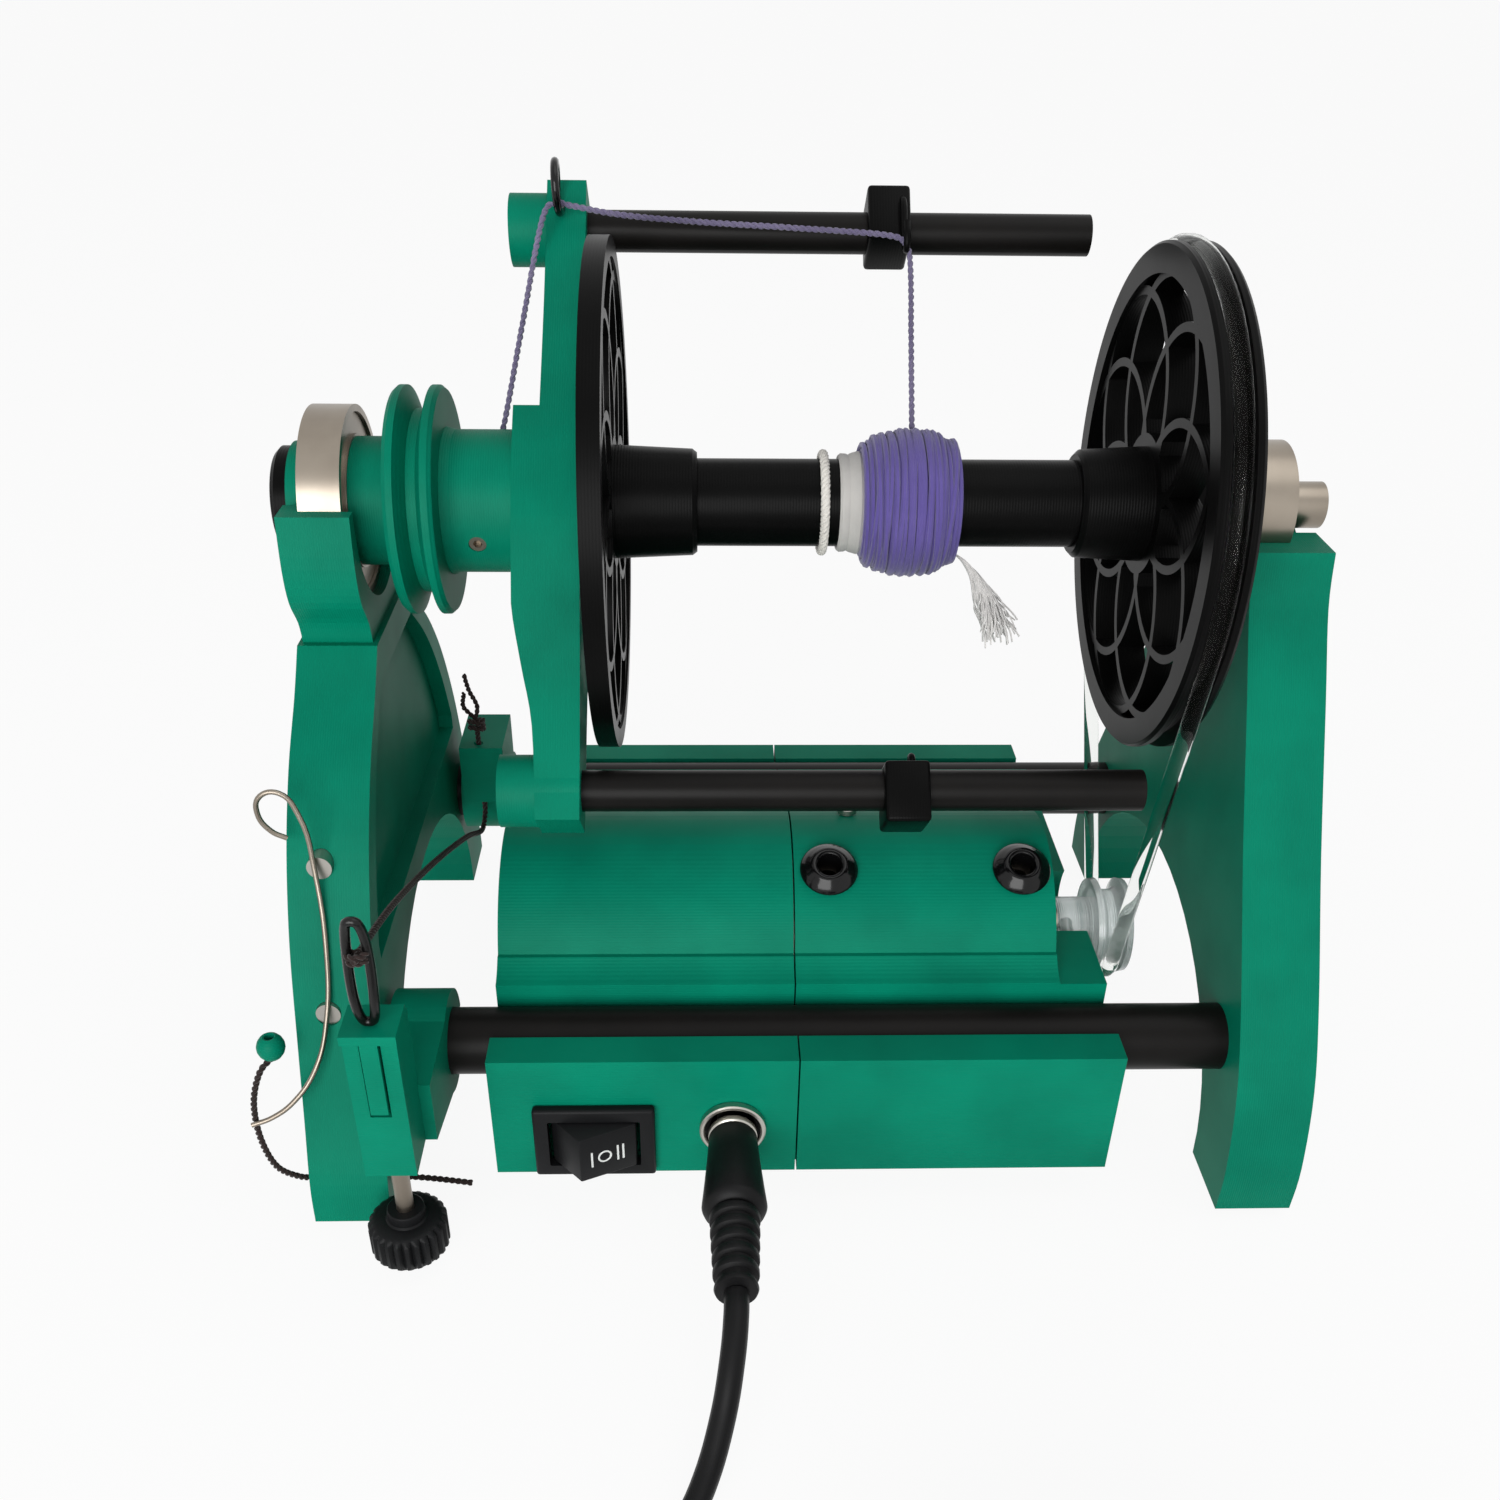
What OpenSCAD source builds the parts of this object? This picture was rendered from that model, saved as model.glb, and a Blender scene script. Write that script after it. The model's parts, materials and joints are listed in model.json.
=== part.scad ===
// Electric yarn spinner: a motor-driven bobbin and a braked flyer between two arched uprights.
// +X runs along the spindle from the orifice to the drive end, -Y is the front, +Z is up.
// The origin is on the table, below the middle of the machine.

/* [Spindle] */
// Height of the spindle axis above the table
axis_h = 112; // [108:1:120]
// Radius of the bobbin's two flanges
flange_r = 42.5; // [38:0.5:43]
// Radius from the spindle axis to the two flyer rods
flyer_r = 51.5; // [50:0.5:53]
// Turn of the flyer about the spindle, seen from the orifice
flyer_turn = 43; // [30:1:50]
// Diameter of the steel axle
axle_d = 8; // [7:0.5:8]
// Number of overlapping rings in each rosette
rosette_n = 8; // [6:1:10]

/* [Frame] */
// Diameter of the two tie rods
tie_d = 12; // [10:0.5:12]
// Thickness of an upright
upright_t = 13.7; // [12:0.1:15]
// Width of the arch between the feet of an upright
arch_w = 94; // [84:1:96]
// Height of that arch above the table
arch_h = 40; // [34:1:40]

/* [Case] */
// Height of the case's front panel
panel_h = 29; // [26:1:30]
// Wall thickness of the case
wall = 2.4; // [2:0.1:3]
// Radius of the hump over the motor
hump_r = 23; // [22:0.5:24]

/* [Hidden] */
$fn = 64;

green = [0.0, 0.42, 0.30];
black = [0.06, 0.06, 0.065];
steel = [0.72, 0.72, 0.74];

// The machine's middle, so that its own box is centred on the origin.
mid_x = 15;
mid_y = -8.175;
floor_gap = 2;
fit = 0.05;

// Stations along the spindle.
orifice_x = [-73, -70];
brg_l_x = [-66.5, -59.5];
brake_x = [-52.2, -44.2];
arm_x = [-32.2, -20.9];
flange_x = [-18.8, -15.3];
collar_l_x = -1.5;
collar_r_x = 64.3;
whorl_x = [75.6, 82.6];
brg_r_x = [93.2, 100.2];
axle_x = [-30, 108.3];
belt_x = (whorl_x[0] + whorl_x[1]) / 2;

// Uprights, rods and case.
left_in = -56.6;
left_out = left_in - upright_t;
right_in = 92.7;
right_out = right_in + upright_t;
frame_y = -1.35;
tie_y = 44.7;
tie_z = 29;
case_x = [-38, 15.9, 72.6];
case_y = [-58, 55.3];
case_z0 = 8;
panel_z = case_z0 + panel_h;
motor_y = -14;
motor_z = 31;
hump_end = 64;
belt_d = 3;
pulley_r = 7.2;
whorl_groove_r = flange_r - 2;

// A smooth curve through a few points chosen by hand.
function mix(a, b, c, d, t) = 0.5 * (2 * b + (c - a) * t + (2 * a - 5 * b + 4 * c - d) * t * t
    + (3 * b - a - 3 * c + d) * t * t * t);
function at(p, i) = p[max(0, min(len(p) - 1, i))];
function smooth(p, n) = concat([for (i = [0 : len(p) - 2], k = [0 : n - 1])
    mix(at(p, i - 1), p[i], p[i + 1], at(p, i + 2), k / n)], [p[len(p) - 1]]);
function unit(v) = v / norm(v);
function heading(p, i) = unit(at(p, i + 1) - at(p, i - 1));
function sideways(t) = unit(cross(t, abs(t[2]) > 0.9 ? [0, 1, 0] : [0, 0, 1]));
function settle(t, side) = unit(side - t * (side * t));
function sides(p, i, s) = i == len(p) ? [] : let (n = settle(heading(p, i), s)) concat([n], sides(p, i + 1, n));
function flip(p) = [for (i = [len(p) - 1 : -1 : 0]) [-p[i][0], p[i][1]]];

// A round cord along a list of points.
module cord(path, d) {
    m = 8;
    side = sides(path, 0, sideways(heading(path, 0)));
    rings = [for (i = [0 : len(path) - 1], k = [0 : m - 1])
        let (up = cross(heading(path, i), side[i]), a = 360 * k / m)
        path[i] + d / 2 * (cos(a) * side[i] + sin(a) * up)];
    walls = [for (i = [0 : len(path) - 2], k = [0 : m - 1])
        [i * m + k, i * m + (k + 1) % m, (i + 1) * m + (k + 1) % m, (i + 1) * m + k]];
    near_end = [for (k = [m - 1 : -1 : 0]) k];
    far_end = [for (k = [0 : m - 1]) (len(path) - 1) * m + k];
    polyhedron(rings, [for (f = concat(walls, [near_end, far_end])) [for (j = [len(f) - 1 : -1 : 0]) f[j]]]);
}

module place() {
    translate([-mid_x, -mid_y, 0]) children();
}

// A cylinder along X between two stations, about the spindle axis unless moved.
module along_x(x, r, y = 0, z = axis_h) {
    translate([x[0], y, z]) rotate([0, 90, 0]) cylinder(h = x[1] - x[0], r = r);
}

module tube_x(x, r, bore, y = 0, z = axis_h) {
    difference() {
        along_x(x, r, y, z);
        along_x([x[0] - 1, x[1] + 1], bore, y, z);
    }
}

// A round profile of [x, radius] points turned about the spindle axis.
module turned(profile, y = 0, z = axis_h) {
    translate([0, y, z]) rotate([0, 90, 0]) rotate_extrude() polygon([for (p = profile) [p[1], p[0]]]);
}

// Children drawn in the plane of the flyer, with the upper rod up.
module flyer_frame() {
    translate([0, 0, axis_h]) rotate([-flyer_turn, 0, 0]) children();
}

// A plate in the YZ plane between two X stations, drawn as [y, z].
module plate_x(x) {
    translate([x[0], 0, 0]) rotate([90, 0, 90]) linear_extrude(x[1] - x[0]) children();
}

// Half outlines of the uprights, from the foot to the top, as [half width, height].
left_edge = [[62.5, floor_gap], [61.5, 10], [57.5, 22], [53, 36], [47.5, 52], [40, 66], [31, 77], [21, 85.5], [14.5, 92]];
right_edge = [[61.5, floor_gap], [61.5, 12], [58, 27], [51, 41], [37.5, 63], [24.5, 86], [16.5, 100], [14, 109]];

module outline(edge) {
    half = smooth(edge, 5);
    translate([frame_y, 0]) polygon(concat(half, [for (p = flip(half)) p]));
}

module arch() {
    steps = 24;
    translate([frame_y, 0]) polygon(concat([[arch_w / 2, -1]],
        [for (i = [0 : steps]) [arch_w / 2 * cos(180 * i / steps), floor_gap + (arch_h - floor_gap) * sin(180 * i / steps)]],
        [[-arch_w / 2, -1]]));
}

module recess(edge, rim) {
    half = smooth(edge, 5);
    low = arch_h + rim;
    inner = [for (p = half) if (p[1] > low && p[1] < edge[len(edge) - 1][1] - rim) [p[0] - rim, p[1]]];
    translate([frame_y, 0]) polygon(concat([[inner[0][0], low]], inner, flip(inner), [[-inner[0][0], low]]));
}

module tie_holes(x) {
    for (side = [-1, 1]) along_x(x, tie_d / 2 + fit, frame_y + side * tie_y, tie_z);
}

module upright_left() {
    color(green) place() difference() {
        plate_x([left_out, left_in]) difference() {
            outline(left_edge);
            arch();
        }
        plate_x([left_in - 3, left_in + 1]) recess(left_edge, 6);
        tie_holes([left_in - 8, left_in + 1]);
        for (z = magnet_z) translate([magnet_x, magnet_y(z), z]) rotate([90, 0, 0])
            cylinder(h = 12, r = magnet_r + fit, center = true);
        translate([left_out - 1, tether_y, tether_z]) rotate([0, 90, 0]) cylinder(h = upright_t + 2, r = 1.1);
    }
}

// The block that carries the large bearing in an open cradle.
block_x = [-69.6, -57.6];
module cradle_block() {
    color(green) place() difference() {
        plate_x(block_x) difference() {
            polygon([for (p = concat(cradle_half, flip(cradle_half))) p]);
            translate([0, axis_h]) circle(r = 12.6);
            translate([-12.6, axis_h]) square([25.2, 20]);
        }
        along_x([brg_l_x[0] - fit, block_x[1] + 1], brg_l_r + fit);
    }
}
brg_l_r = 16;
cradle_half = smooth([[14.5, 92], [15.4, 96], [18.6, 101], [19.4, 107], [18.4, 115.6]], 4);

module upright_right() {
    color(green) place() difference() {
        plate_x([right_in, right_out]) difference() {
            outline(right_edge);
            arch();
        }
        along_x([right_in - 1, brg_r_x[1] + fit], brg_r_r + fit);
        along_x([right_in - 1, right_out + 1], 6.4);
        tie_holes([right_in - 1, right_in + 8]);
    }
}
brg_r_r = 11;

module tie_rod(side) {
    color(black) place() tube_x([left_in - 7.8, right_in + 7.8], tie_d / 2, 4.2, frame_y + side * tie_y, tie_z);
}

module tie_rod_front() {
    tie_rod(-1);
}

module tie_rod_rear() {
    tie_rod(1);
}

// Cross-section of the case, inset by a wall thickness, as [y, z].
module case_section(inset, hump) {
    difference() {
        union() {
            translate([case_y[0] + inset, case_z0 - 1 + inset])
                square([case_y[1] - case_y[0] - 2 * inset, panel_z - case_z0 + 1 - 2 * inset]);
            if (hump) {
                translate([motor_y, motor_z]) circle(r = hump_r - inset);
                difference() {
                    translate([motor_y - 27 + inset, panel_z - 8]) square([54 - 2 * inset, 11 - inset]);
                    for (side = [-1, 1]) translate([motor_y + side * 29, panel_z + 9.5]) circle(r = 9.5 + inset);
                }
            }
        }
        translate([case_y[0] - 5, case_z0 - 10]) square([160, 10]);
    }
}

module rod_troughs(r) {
    for (side = [-1, 1]) translate([frame_y + side * tie_y, tie_z]) circle(r = r);
}

trough_w = 10.5;
lip_z = 34;
module above_lips(z) {
    for (y = [[case_y[0] - 1, frame_y - tie_y - trough_w / 2], [frame_y + tie_y + trough_w / 2, case_y[1] + 1]])
        translate([case_x[0] - 5, y[0], z]) cube([case_x[2] - case_x[0] + 10, y[1] - y[0], 20]);
}

notch_r = 12;
module case_shell(x, end_l, end_r) {
    hump_x = [x[0], min(x[1], hump_end)];
    difference() {
        union() {
            plate_x(x) case_section(0, false);
            plate_x(hump_x) case_section(0, true);
        }
        difference() {
            union() {
                plate_x([x[0] + end_l, x[1] - end_r]) case_section(wall, false);
                plate_x([hump_x[0] + end_l, hump_x[1] - end_r]) case_section(wall, true);
            }
            plate_x(x) rod_troughs(tie_d / 2 + wall);
            above_lips(lip_z - wall);
            cover_posts() cylinder(h = 40, r = 4);
            along_x([hump_end - wall, case_x[2]], notch_r + wall, motor_y, motor_z);
        }
        translate([0, case_y[0] + wall, 0])
            translate([x[0] + (end_l > 0 ? wall : -1), 0, case_z0 - 1])
            cube([x[1] - x[0] - end_l - end_r + (end_l > 0 ? 0 : 1) + (end_r > 0 ? 0 : 1), case_y[1] - case_y[0] - 2 * wall, wall + 1.1]);
        above_lips(lip_z);
        plate_x([x[0] - 1, x[1] + 1]) rod_troughs(tie_d / 2 + fit);
        for (side = [-1, 1]) translate([x[0] - 1, frame_y + side * tie_y - trough_w / 2, tie_z])
            cube([x[1] - x[0] + 2, trough_w, 20]);
        cover_posts() translate([0, 0, -5]) cylinder(h = 14, r = 1.35);
    }
}

switch_c = [-20, 16.7];
switch_size = [21.4, 15.4];
socket_c = [4.4, 19];
grommet_x = [22.4, 58];
grommet_y = -25;
grommet_z = motor_z + sqrt(hump_r * hump_r - pow(grommet_y - motor_y, 2));
grommet_tilt = asin((grommet_y - motor_y) / hump_r);

module case_left() {
    color(green) place() difference() {
        case_shell([case_x[0], case_x[1] - 0.15], wall, 0);
        translate([switch_c[0] - 9.6, case_y[0] - 1, switch_c[1] - 6.1]) cube([19.2, 9.4, 12.2]);
        translate([socket_c[0], case_y[0] - 1, socket_c[1]]) rotate([-90, 0, 0]) cylinder(h = 8, r = 5.6);
    }
}

module case_right() {
    color(green) place() difference() {
        case_shell([case_x[1] + 0.15, case_x[2]], 0, wall);
        along_x([hump_end - 4, hump_end + 1], 6.2, motor_y, motor_z);
        along_x([hump_end, case_x[2] + 1], notch_r, motor_y, motor_z);
        for (a = [-50, 50]) along_x([hump_end - 4, hump_end + 1], 1.5, motor_y + 15 * sin(a), motor_z + 15 * cos(a));
        for (x = grommet_x) grommet_place(x) cylinder(h = 12, r = 3.1, center = true);
        translate([screw_x, screw_y, panel_z - 5]) cylinder(h = 40, r = 1.3);
    }
}
screw_x = 27;
screw_y = motor_y + 6;

module grommet_place(x) {
    translate([x, grommet_y, grommet_z]) rotate([-grommet_tilt, 0, 0]) children();
}

// Each rubber socket is a turned flange on the hump with an open neck.
module top_grommets() {
    color(black) place() for (x = grommet_x) grommet_place(x) difference() {
        rotate_extrude() polygon([[0, -4], [3, -4], [3, 0.2], [5.2, 0.35], [5.3, 1.2], [3.6, 2.6], [2.9, 2.6], [2.9, 2.8], [0, 2.8]]);
        translate([0, 0, -3]) cylinder(h = 7, r = 2.1);
    }
}

module case_screw() {
    z = motor_z + sqrt(hump_r * hump_r - 36) + 0.65;
    color(steel) place() difference() {
        translate([screw_x, screw_y, z]) union() {
            cylinder(h = 1, r = 1.9);
            translate([0, 0, -3.8]) cylinder(h = 3.8, r = 1.25);
        }
        translate([screw_x, screw_y, z + 0.5]) cylinder(h = 2, r = 0.9, $fn = 6);
    }
}

cover_clear = 0.2;
module case_cover() {
    color(green) place() difference() {
        translate([case_x[0] + wall + cover_clear, case_y[0] + wall + cover_clear, case_z0])
            cube([case_x[2] - case_x[0] - 2 * wall - 2 * cover_clear,
                case_y[1] - case_y[0] - 2 * wall - 2 * cover_clear, wall - cover_clear]);
        cover_posts() cylinder(h = 20, r = 1.35, center = true);
        for (x = [-22 : 8 : 58]) translate([x, 16, case_z0 - 1]) cube([3, 20, 8]);
    }
}

module cover_posts() {
    for (x = [case_x[0] + 8, case_x[2] - 8], y = [case_y[0] + 20.5, case_y[1] - 20.5]) translate([x, y, case_z0 + 1]) children();
}

module cover_screws() {
    color(steel) place() cover_posts() union() {
        translate([0, 0, -1.9]) cylinder(h = 0.9, r = 2.4);
        translate([0, 0, -1]) cylinder(h = 8, r = 1.3);
    }
}

module switch_bezel() {
    color(black) place() translate([switch_c[0], case_y[0], switch_c[1]]) difference() {
        union() {
            translate([-switch_size[0] / 2, -2, -switch_size[1] / 2]) cube([switch_size[0], 2, switch_size[1]]);
            translate([-9.4, 0, -5.9]) cube([18.8, 7.8, 11.8]);
        }
        translate([-8.1, -3, -5.2]) cube([16.2, 9, 10.4]);
    }
}

// The rocker turns about a pin along Z.
rocker_y = 1.2;
module switch_rocker() {
    color(black) place() translate([switch_c[0], case_y[0] + rocker_y, switch_c[1] - 4.9]) linear_extrude(9.8)
        polygon([[-2.2, -7.6], [7.3, -3.5], [7.5, -2.8], [7.2, -0.6], [4.4, 1.8], [-4.4, 1.8], [-7.4, -0.6], [-7.6, -1.4], [-7.3, -2.1]]);
}

module dc_socket() {
    color(steel) place() translate([socket_c[0], case_y[0], socket_c[1]]) rotate([90, 0, 0]) difference() {
        union() {
            cylinder(h = 1.6, r = 7.2);
            translate([0, 0, 1.6]) cylinder(h = 1, r = 5.8);
            translate([0, 0, -7]) cylinder(h = 7, r = 5.4);
        }
        translate([0, 0, -6]) cylinder(h = 12, r = 4);
    }
}

plug_len = 37;
module dc_plug() {
    color(black) place() translate([socket_c[0], case_y[0], socket_c[1]]) rotate([90, 0, 0]) difference() {
        union() {
            translate([0, 0, -5.8]) cylinder(h = 8.8, r = 2.75);
            translate([0, 0, 3]) rotate_extrude() polygon(concat([[0, 0], [4.6, 0], [5.2, 0.8], [5.2, 13], [4.6, 14.5]],
                [for (i = [0 : 4], p = [[3.1 - 0.14 * i, 0], [4.3 - 0.3 * i, 0.6], [4.2 - 0.3 * i, 2.6], [3.0 - 0.14 * i, 3.2]])
                    [p[0], 15 + 3.8 * i + p[1]]], [[0, plug_len - 3]]));
        }
        translate([0, 0, -7]) cylinder(h = 8, r = 1.05);
    }
}

// Power lead: its route on the table, then the coil out of view and the adapter.
cord_d = 4;
cord_z = cord_d / 2 + 0.1;
coil_c = [-30, -198];
coil_r = [15, 31];
coil_h = 8.2;
adapter_at = [16, -181.7, 0];
adapter_size = [54, 34, 25];
lead_route = [[4.4, -95.2, 19], [4.3, -99, 18.6], [3.6, -105, 15.4], [1.8, -112, 9], [-1, -119, 4.2], [-5, -127, 2.3],
    [-8, -136, 2.1], [-7, -148, 2.1], [-2, -162, 2.1], [2, -176, 2.1], [3.4, -190, 2.1], [3.4, -197, 2.1]];
tail_route = [[-29, -164.7, 6.2], [-20, -164.7, 6.2], [-8, -164.7, 6.6], [2, -164.7, 7.6], [9, -164.7, 10.6], [15.4, -164.7, 12.4]];

module power_cord() {
    color(black) place() union() {
        cord(smooth(lead_route, 4), cord_d);
        cord(smooth(tail_route, 3), cord_d);
    }
}

module cord_coil() {
    color(black) place() translate([coil_c[0], coil_c[1], 0.1]) rotate_extrude()
        polygon([[coil_r[0], 1], [coil_r[0] + 1, 0], [coil_r[1] - 1, 0], [coil_r[1], 1], [coil_r[1], coil_h - 1],
            [coil_r[1] - 1, coil_h], [coil_r[0] + 1, coil_h], [coil_r[0], coil_h - 1]]);
}

module power_adapter() {
    color(black) place() translate(adapter_at) union() {
        translate([0, 3, 0.1]) cube([adapter_size[0], adapter_size[1] - 6, adapter_size[2]]);
        translate([3, 0, 0.1]) cube([adapter_size[0] - 6, adapter_size[1], adapter_size[2]]);
        for (x = [3, adapter_size[0] - 3], y = [3, adapter_size[1] - 3])
            translate([x, y, 0.1]) cylinder(h = adapter_size[2], r = 3);
        for (y = [-6.35, 6.35]) translate([adapter_size[0], adapter_size[1] / 2 + y - 0.75, 10]) cube([15, 1.5, 6.3]);
    }
}

module gear_motor() {
    color(steel) place() union() {
        tube_x([hump_end - wall - 20.2, hump_end - wall - 0.2], 18.3, 3.2, motor_y, motor_z);
        along_x([hump_end - wall - 52, hump_end - wall - 20.2], 17.2, motor_y, motor_z);
        along_x([hump_end - wall - 55, hump_end - wall - 52], 5, motor_y, motor_z);
    }
}

module motor_screws() {
    color(steel) place() for (a = [-50, 50]) union() {
        along_x([hump_end, hump_end + 1.6], 2.6, motor_y + 15 * sin(a), motor_z + 15 * cos(a));
        along_x([hump_end - 2.4, hump_end], 1.4, motor_y + 15 * sin(a), motor_z + 15 * cos(a));
    }
}

module control_board() {
    color([0.1, 0.3, 0.2]) place() union() {
        translate([-32, -2, 14]) cube([46, 30, 1.6]);
        translate([-26, 4, 15.6]) cube([10, 10, 9]);
        translate([-10, 10, 15.6]) cylinder(h = 11, r = 4);
        translate([4, 4, 15.6]) cube([6, 18, 8]);
        for (x = [-29, 11], y = [1, 25]) translate([x, y, case_z0 + wall]) cylinder(h = 14 - case_z0 - wall, r = 2.5);
    }
}

// Clear pulley on the steel motor boss, with a groove for the round belt.
module motor_pulley() {
    c = belt_x;
    root = pulley_r - 0.1;
    color([0.8, 0.85, 0.85, 0.6]) place() difference() {
        union() {
            turned([[c - 3.4, 0], [c - 3.4, 9.2], [c - 2.2, 9.4], [c - 1.7, root + 0.6], [c - 0.9, root], [c + 0.9, root],
                [c + 1.7, root + 0.6], [c + 2.2, 9.4], [c + 3.4, 9.2], [c + 3.4, 0]], motor_y, motor_z);
            along_x([hump_end + 3, c - 3.4], 5.6, motor_y, motor_z);
            along_x([hump_end - wall - 12, hump_end + 3], 3, motor_y, motor_z);
        }
        translate([0, motor_y, motor_z]) rotate([90, 0, 0]) translate([hump_end + 7, 0, 0]) cylinder(h = 8, r = 1.3);
    }
}

// Open belt: two arcs and the two straight runs that touch both.
belt_pitch_small = pulley_r + belt_d / 2 + 0.3;
belt_pitch_big = whorl_groove_r + belt_d / 2 + 0.3 - 0.2;
belt_len = norm([motor_y, axis_h - motor_z]);
belt_lean = atan2(-motor_y, motor_z - axis_h);
belt_open = asin((belt_pitch_big - belt_pitch_small) / belt_len);

module belt_arc(r, from, sweep) {
    rotate([0, 90, 0]) rotate([0, 0, from]) rotate_extrude(angle = sweep) translate([r, 0]) circle(d = belt_d, $fn = 24);
}

module drive_belt() {
    run = sqrt(belt_len * belt_len - pow(belt_pitch_big - belt_pitch_small, 2));
    color([0.85, 0.88, 0.88, 0.5]) place() translate([belt_x, 0, axis_h]) rotate([belt_lean, 0, 0]) union() {
        belt_arc(belt_pitch_big, -90 - belt_open, 180 + 2 * belt_open);
        translate([0, 0, belt_len]) belt_arc(belt_pitch_small, 90 + belt_open, 180 - 2 * belt_open);
        for (side = [-1, 1]) translate([0, side * belt_pitch_big * cos(belt_open), belt_pitch_big * sin(belt_open)])
            rotate([side * belt_open, 0, 0]) translate([0, 0, -0.4]) cylinder(h = run + 0.8, d = belt_d - 0.06, $fn = 24);
    }
}

module ring_bearing(x, r_out, r_in, outer) {
    split = (r_out + r_in) / 2;
    race = (r_out - r_in) * 0.2;
    if (outer) tube_x(x, r_out, r_out - race);
    if (!outer) difference() {
        union() {
            tube_x(x, r_in + race, r_in);
            tube_x([x[0] + 0.6, x[1] - 0.6], r_out - race - 0.1, r_in + race - 0.1);
        }
    }
}

module bearing_left_outer() {
    color(steel) place() ring_bearing(brg_l_x, brg_l_r, 10.05, true);
}

module bearing_left_inner() {
    color(steel) place() ring_bearing(brg_l_x, brg_l_r, 10.05, false);
}

module bearing_right_outer() {
    color(steel) place() ring_bearing(brg_r_x, brg_r_r, axle_d / 2 + 0.02, true);
}

module bearing_right_inner() {
    color(steel) place() ring_bearing(brg_r_x, brg_r_r, axle_d / 2 + 0.02, false);
}

orifice_r = 5;
module orifice_ring() {
    color(black) place() turned([[-73, orifice_r + 0.8], [-73, 8.4], [-72.2, 9.2], [-70, 9.2], [-70, orifice_r], [-72.4, orifice_r]]);
}

module flyer_hub() {
    color(green) place() difference() {
        union() {
            along_x([orifice_x[1], brg_l_x[1] + 0.1], 10);
            turned([[brg_l_x[1], 0], [brg_l_x[1], 10.8], [-53.4, 10.8], [-52.25, 11.4], [-52.25, 0]]);
            along_x([-52.3, brake_x[1]], 10);
            turned([[brake_x[1], 0], [brake_x[1], 12.4], [-42.6, 12], [arm_x[0], 12], [arm_x[0], 0]]);
        }
        along_x([orifice_x[1] - 1, -35], orifice_r);
        flyer_frame() translate([-41.5, 0, 0]) rotate([0, 28, 0]) cylinder(h = 20, r = 2.6);
        for (a = [60, 240]) hub_screw_place(a) cylinder(h = 8, r = 1.5);
    }
}

module hub_screw_place(a) {
    flyer_frame() translate([-38.5, 0, 0]) rotate([a + 90, 0, 0]) translate([0, 0, 5.6]) children();
}

module hub_screws() {
    color(steel) place() for (a = [60, 240]) hub_screw_place(a) difference() {
        cylinder(h = 6.2, r = 1.45);
        translate([0, 0, 5]) cylinder(h = 2, r = 0.8, $fn = 6);
    }
}

brake_r = 19.2;
module brake_pulley() {
    x = brake_x;
    c = (x[0] + x[1]) / 2;
    color(green) place() turned([[x[0], 10.05], [x[0], brake_r - 0.6], [x[0] + 0.7, brake_r], [x[0] + 1.8, brake_r],
        [c - 0.8, 15.4], [c + 0.8, 15.4], [x[1] - 1.8, brake_r], [x[1] - 0.7, brake_r], [x[1], brake_r - 0.6], [x[1], 10.05]]);
}

// The bow arm: a tapering bar through the hub, thicker below it, with a rod socket at each end.
arm_half = smooth([[12.5, 0], [12.2, 8], [10, 20], [7.6, 34], [6.4, 46], [5.6, 57.6]], 4);
arm_back = smooth([[-32.2, -12], [-32.2, -22], [-30.6, -32], [-28.8, -42], [-28.2, -57.6]], 4);
rod_d = 7;
boss_x = -34.6;
module arm_outline() {
    n = len(arm_half) - 1;
    polygon(concat(arm_half, flip(arm_half), [for (i = [1 : n]) [-arm_half[i][0], -arm_half[i][1]]],
        [for (i = [n : -1 : 1]) [arm_half[i][0], -arm_half[i][1]]]));
}

module flyer_arm() {
    color(green) place() difference() {
        union() {
            flyer_frame() intersection() {
                plate_x(arm_x) arm_outline();
                translate([0, 20, 0]) rotate([90, 0, 0]) linear_extrude(40)
                    polygon(concat([[arm_x[1], -57.6], [arm_x[1], 57.6], [-27.8, 57.6], [-27.8, 12], [arm_x[0], 12]], arm_back));
            }
            flyer_frame() for (side = [-1, 1]) translate([boss_x, 0, side * flyer_r]) rotate([0, 90, 0])
                cylinder(h = arm_x[1] - boss_x, r = 6.1);
            along_x(arm_x, 12.4);
        }
        along_x([axle_x[0], arm_x[1] + 1], axle_d / 2 + 0.02);
        flyer_frame() for (side = [-1, 1]) translate([arm_x[0] - 1, 0, side * flyer_r]) rotate([0, 90, 0])
            cylinder(h = 30, r = rod_d / 2 + 0.02);
        flyer_frame() translate([eyelet_x, -4, eyelet_z]) rotate([90, 0, 0]) cylinder(h = 6, r = 0.95);
    }
}

upper_end = 69.5;
lower_end = 74;
module flyer_rod(side, end) {
    color(black) place() flyer_frame() translate([arm_x[0] - 1, 0, side * flyer_r]) rotate([0, 90, 0])
        cylinder(h = end - arm_x[0] + 1, r = rod_d / 2);
}

module rod_upper() {
    flyer_rod(1, upper_end);
}

module rod_lower() {
    flyer_rod(-1, lower_end);
}

// A sliding guide: a split collar on the rod with an open hook for the yarn.
guide_x = 32.8;
guide_low_x = 33.5;
guide_w = 7;
module guide(x, side) {
    color(black) place() flyer_frame() translate([x, 0, side * flyer_r]) rotate([side > 0 ? 0 : 180, 0, 0]) difference() {
        union() {
            translate([-guide_w / 2, -5.6, -5.4]) cube([guide_w, 11.2, 10.8]);
            translate([-guide_w / 2, -5.6, -6.6]) cube([guide_w, 2.4, 4]);
            translate([guide_w / 2 - 1.6, -5.6, -6.6]) cube([1.6, 6.6, 4]);
        }
        translate([-10, 0, 0]) rotate([0, 90, 0]) cylinder(h = 20, r = rod_d / 2 + fit);
        translate([-10, -0.6, 0]) cube([20, 1.2, 10]);
    }
}

module guide_upper() {
    guide(guide_x, 1);
}

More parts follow.
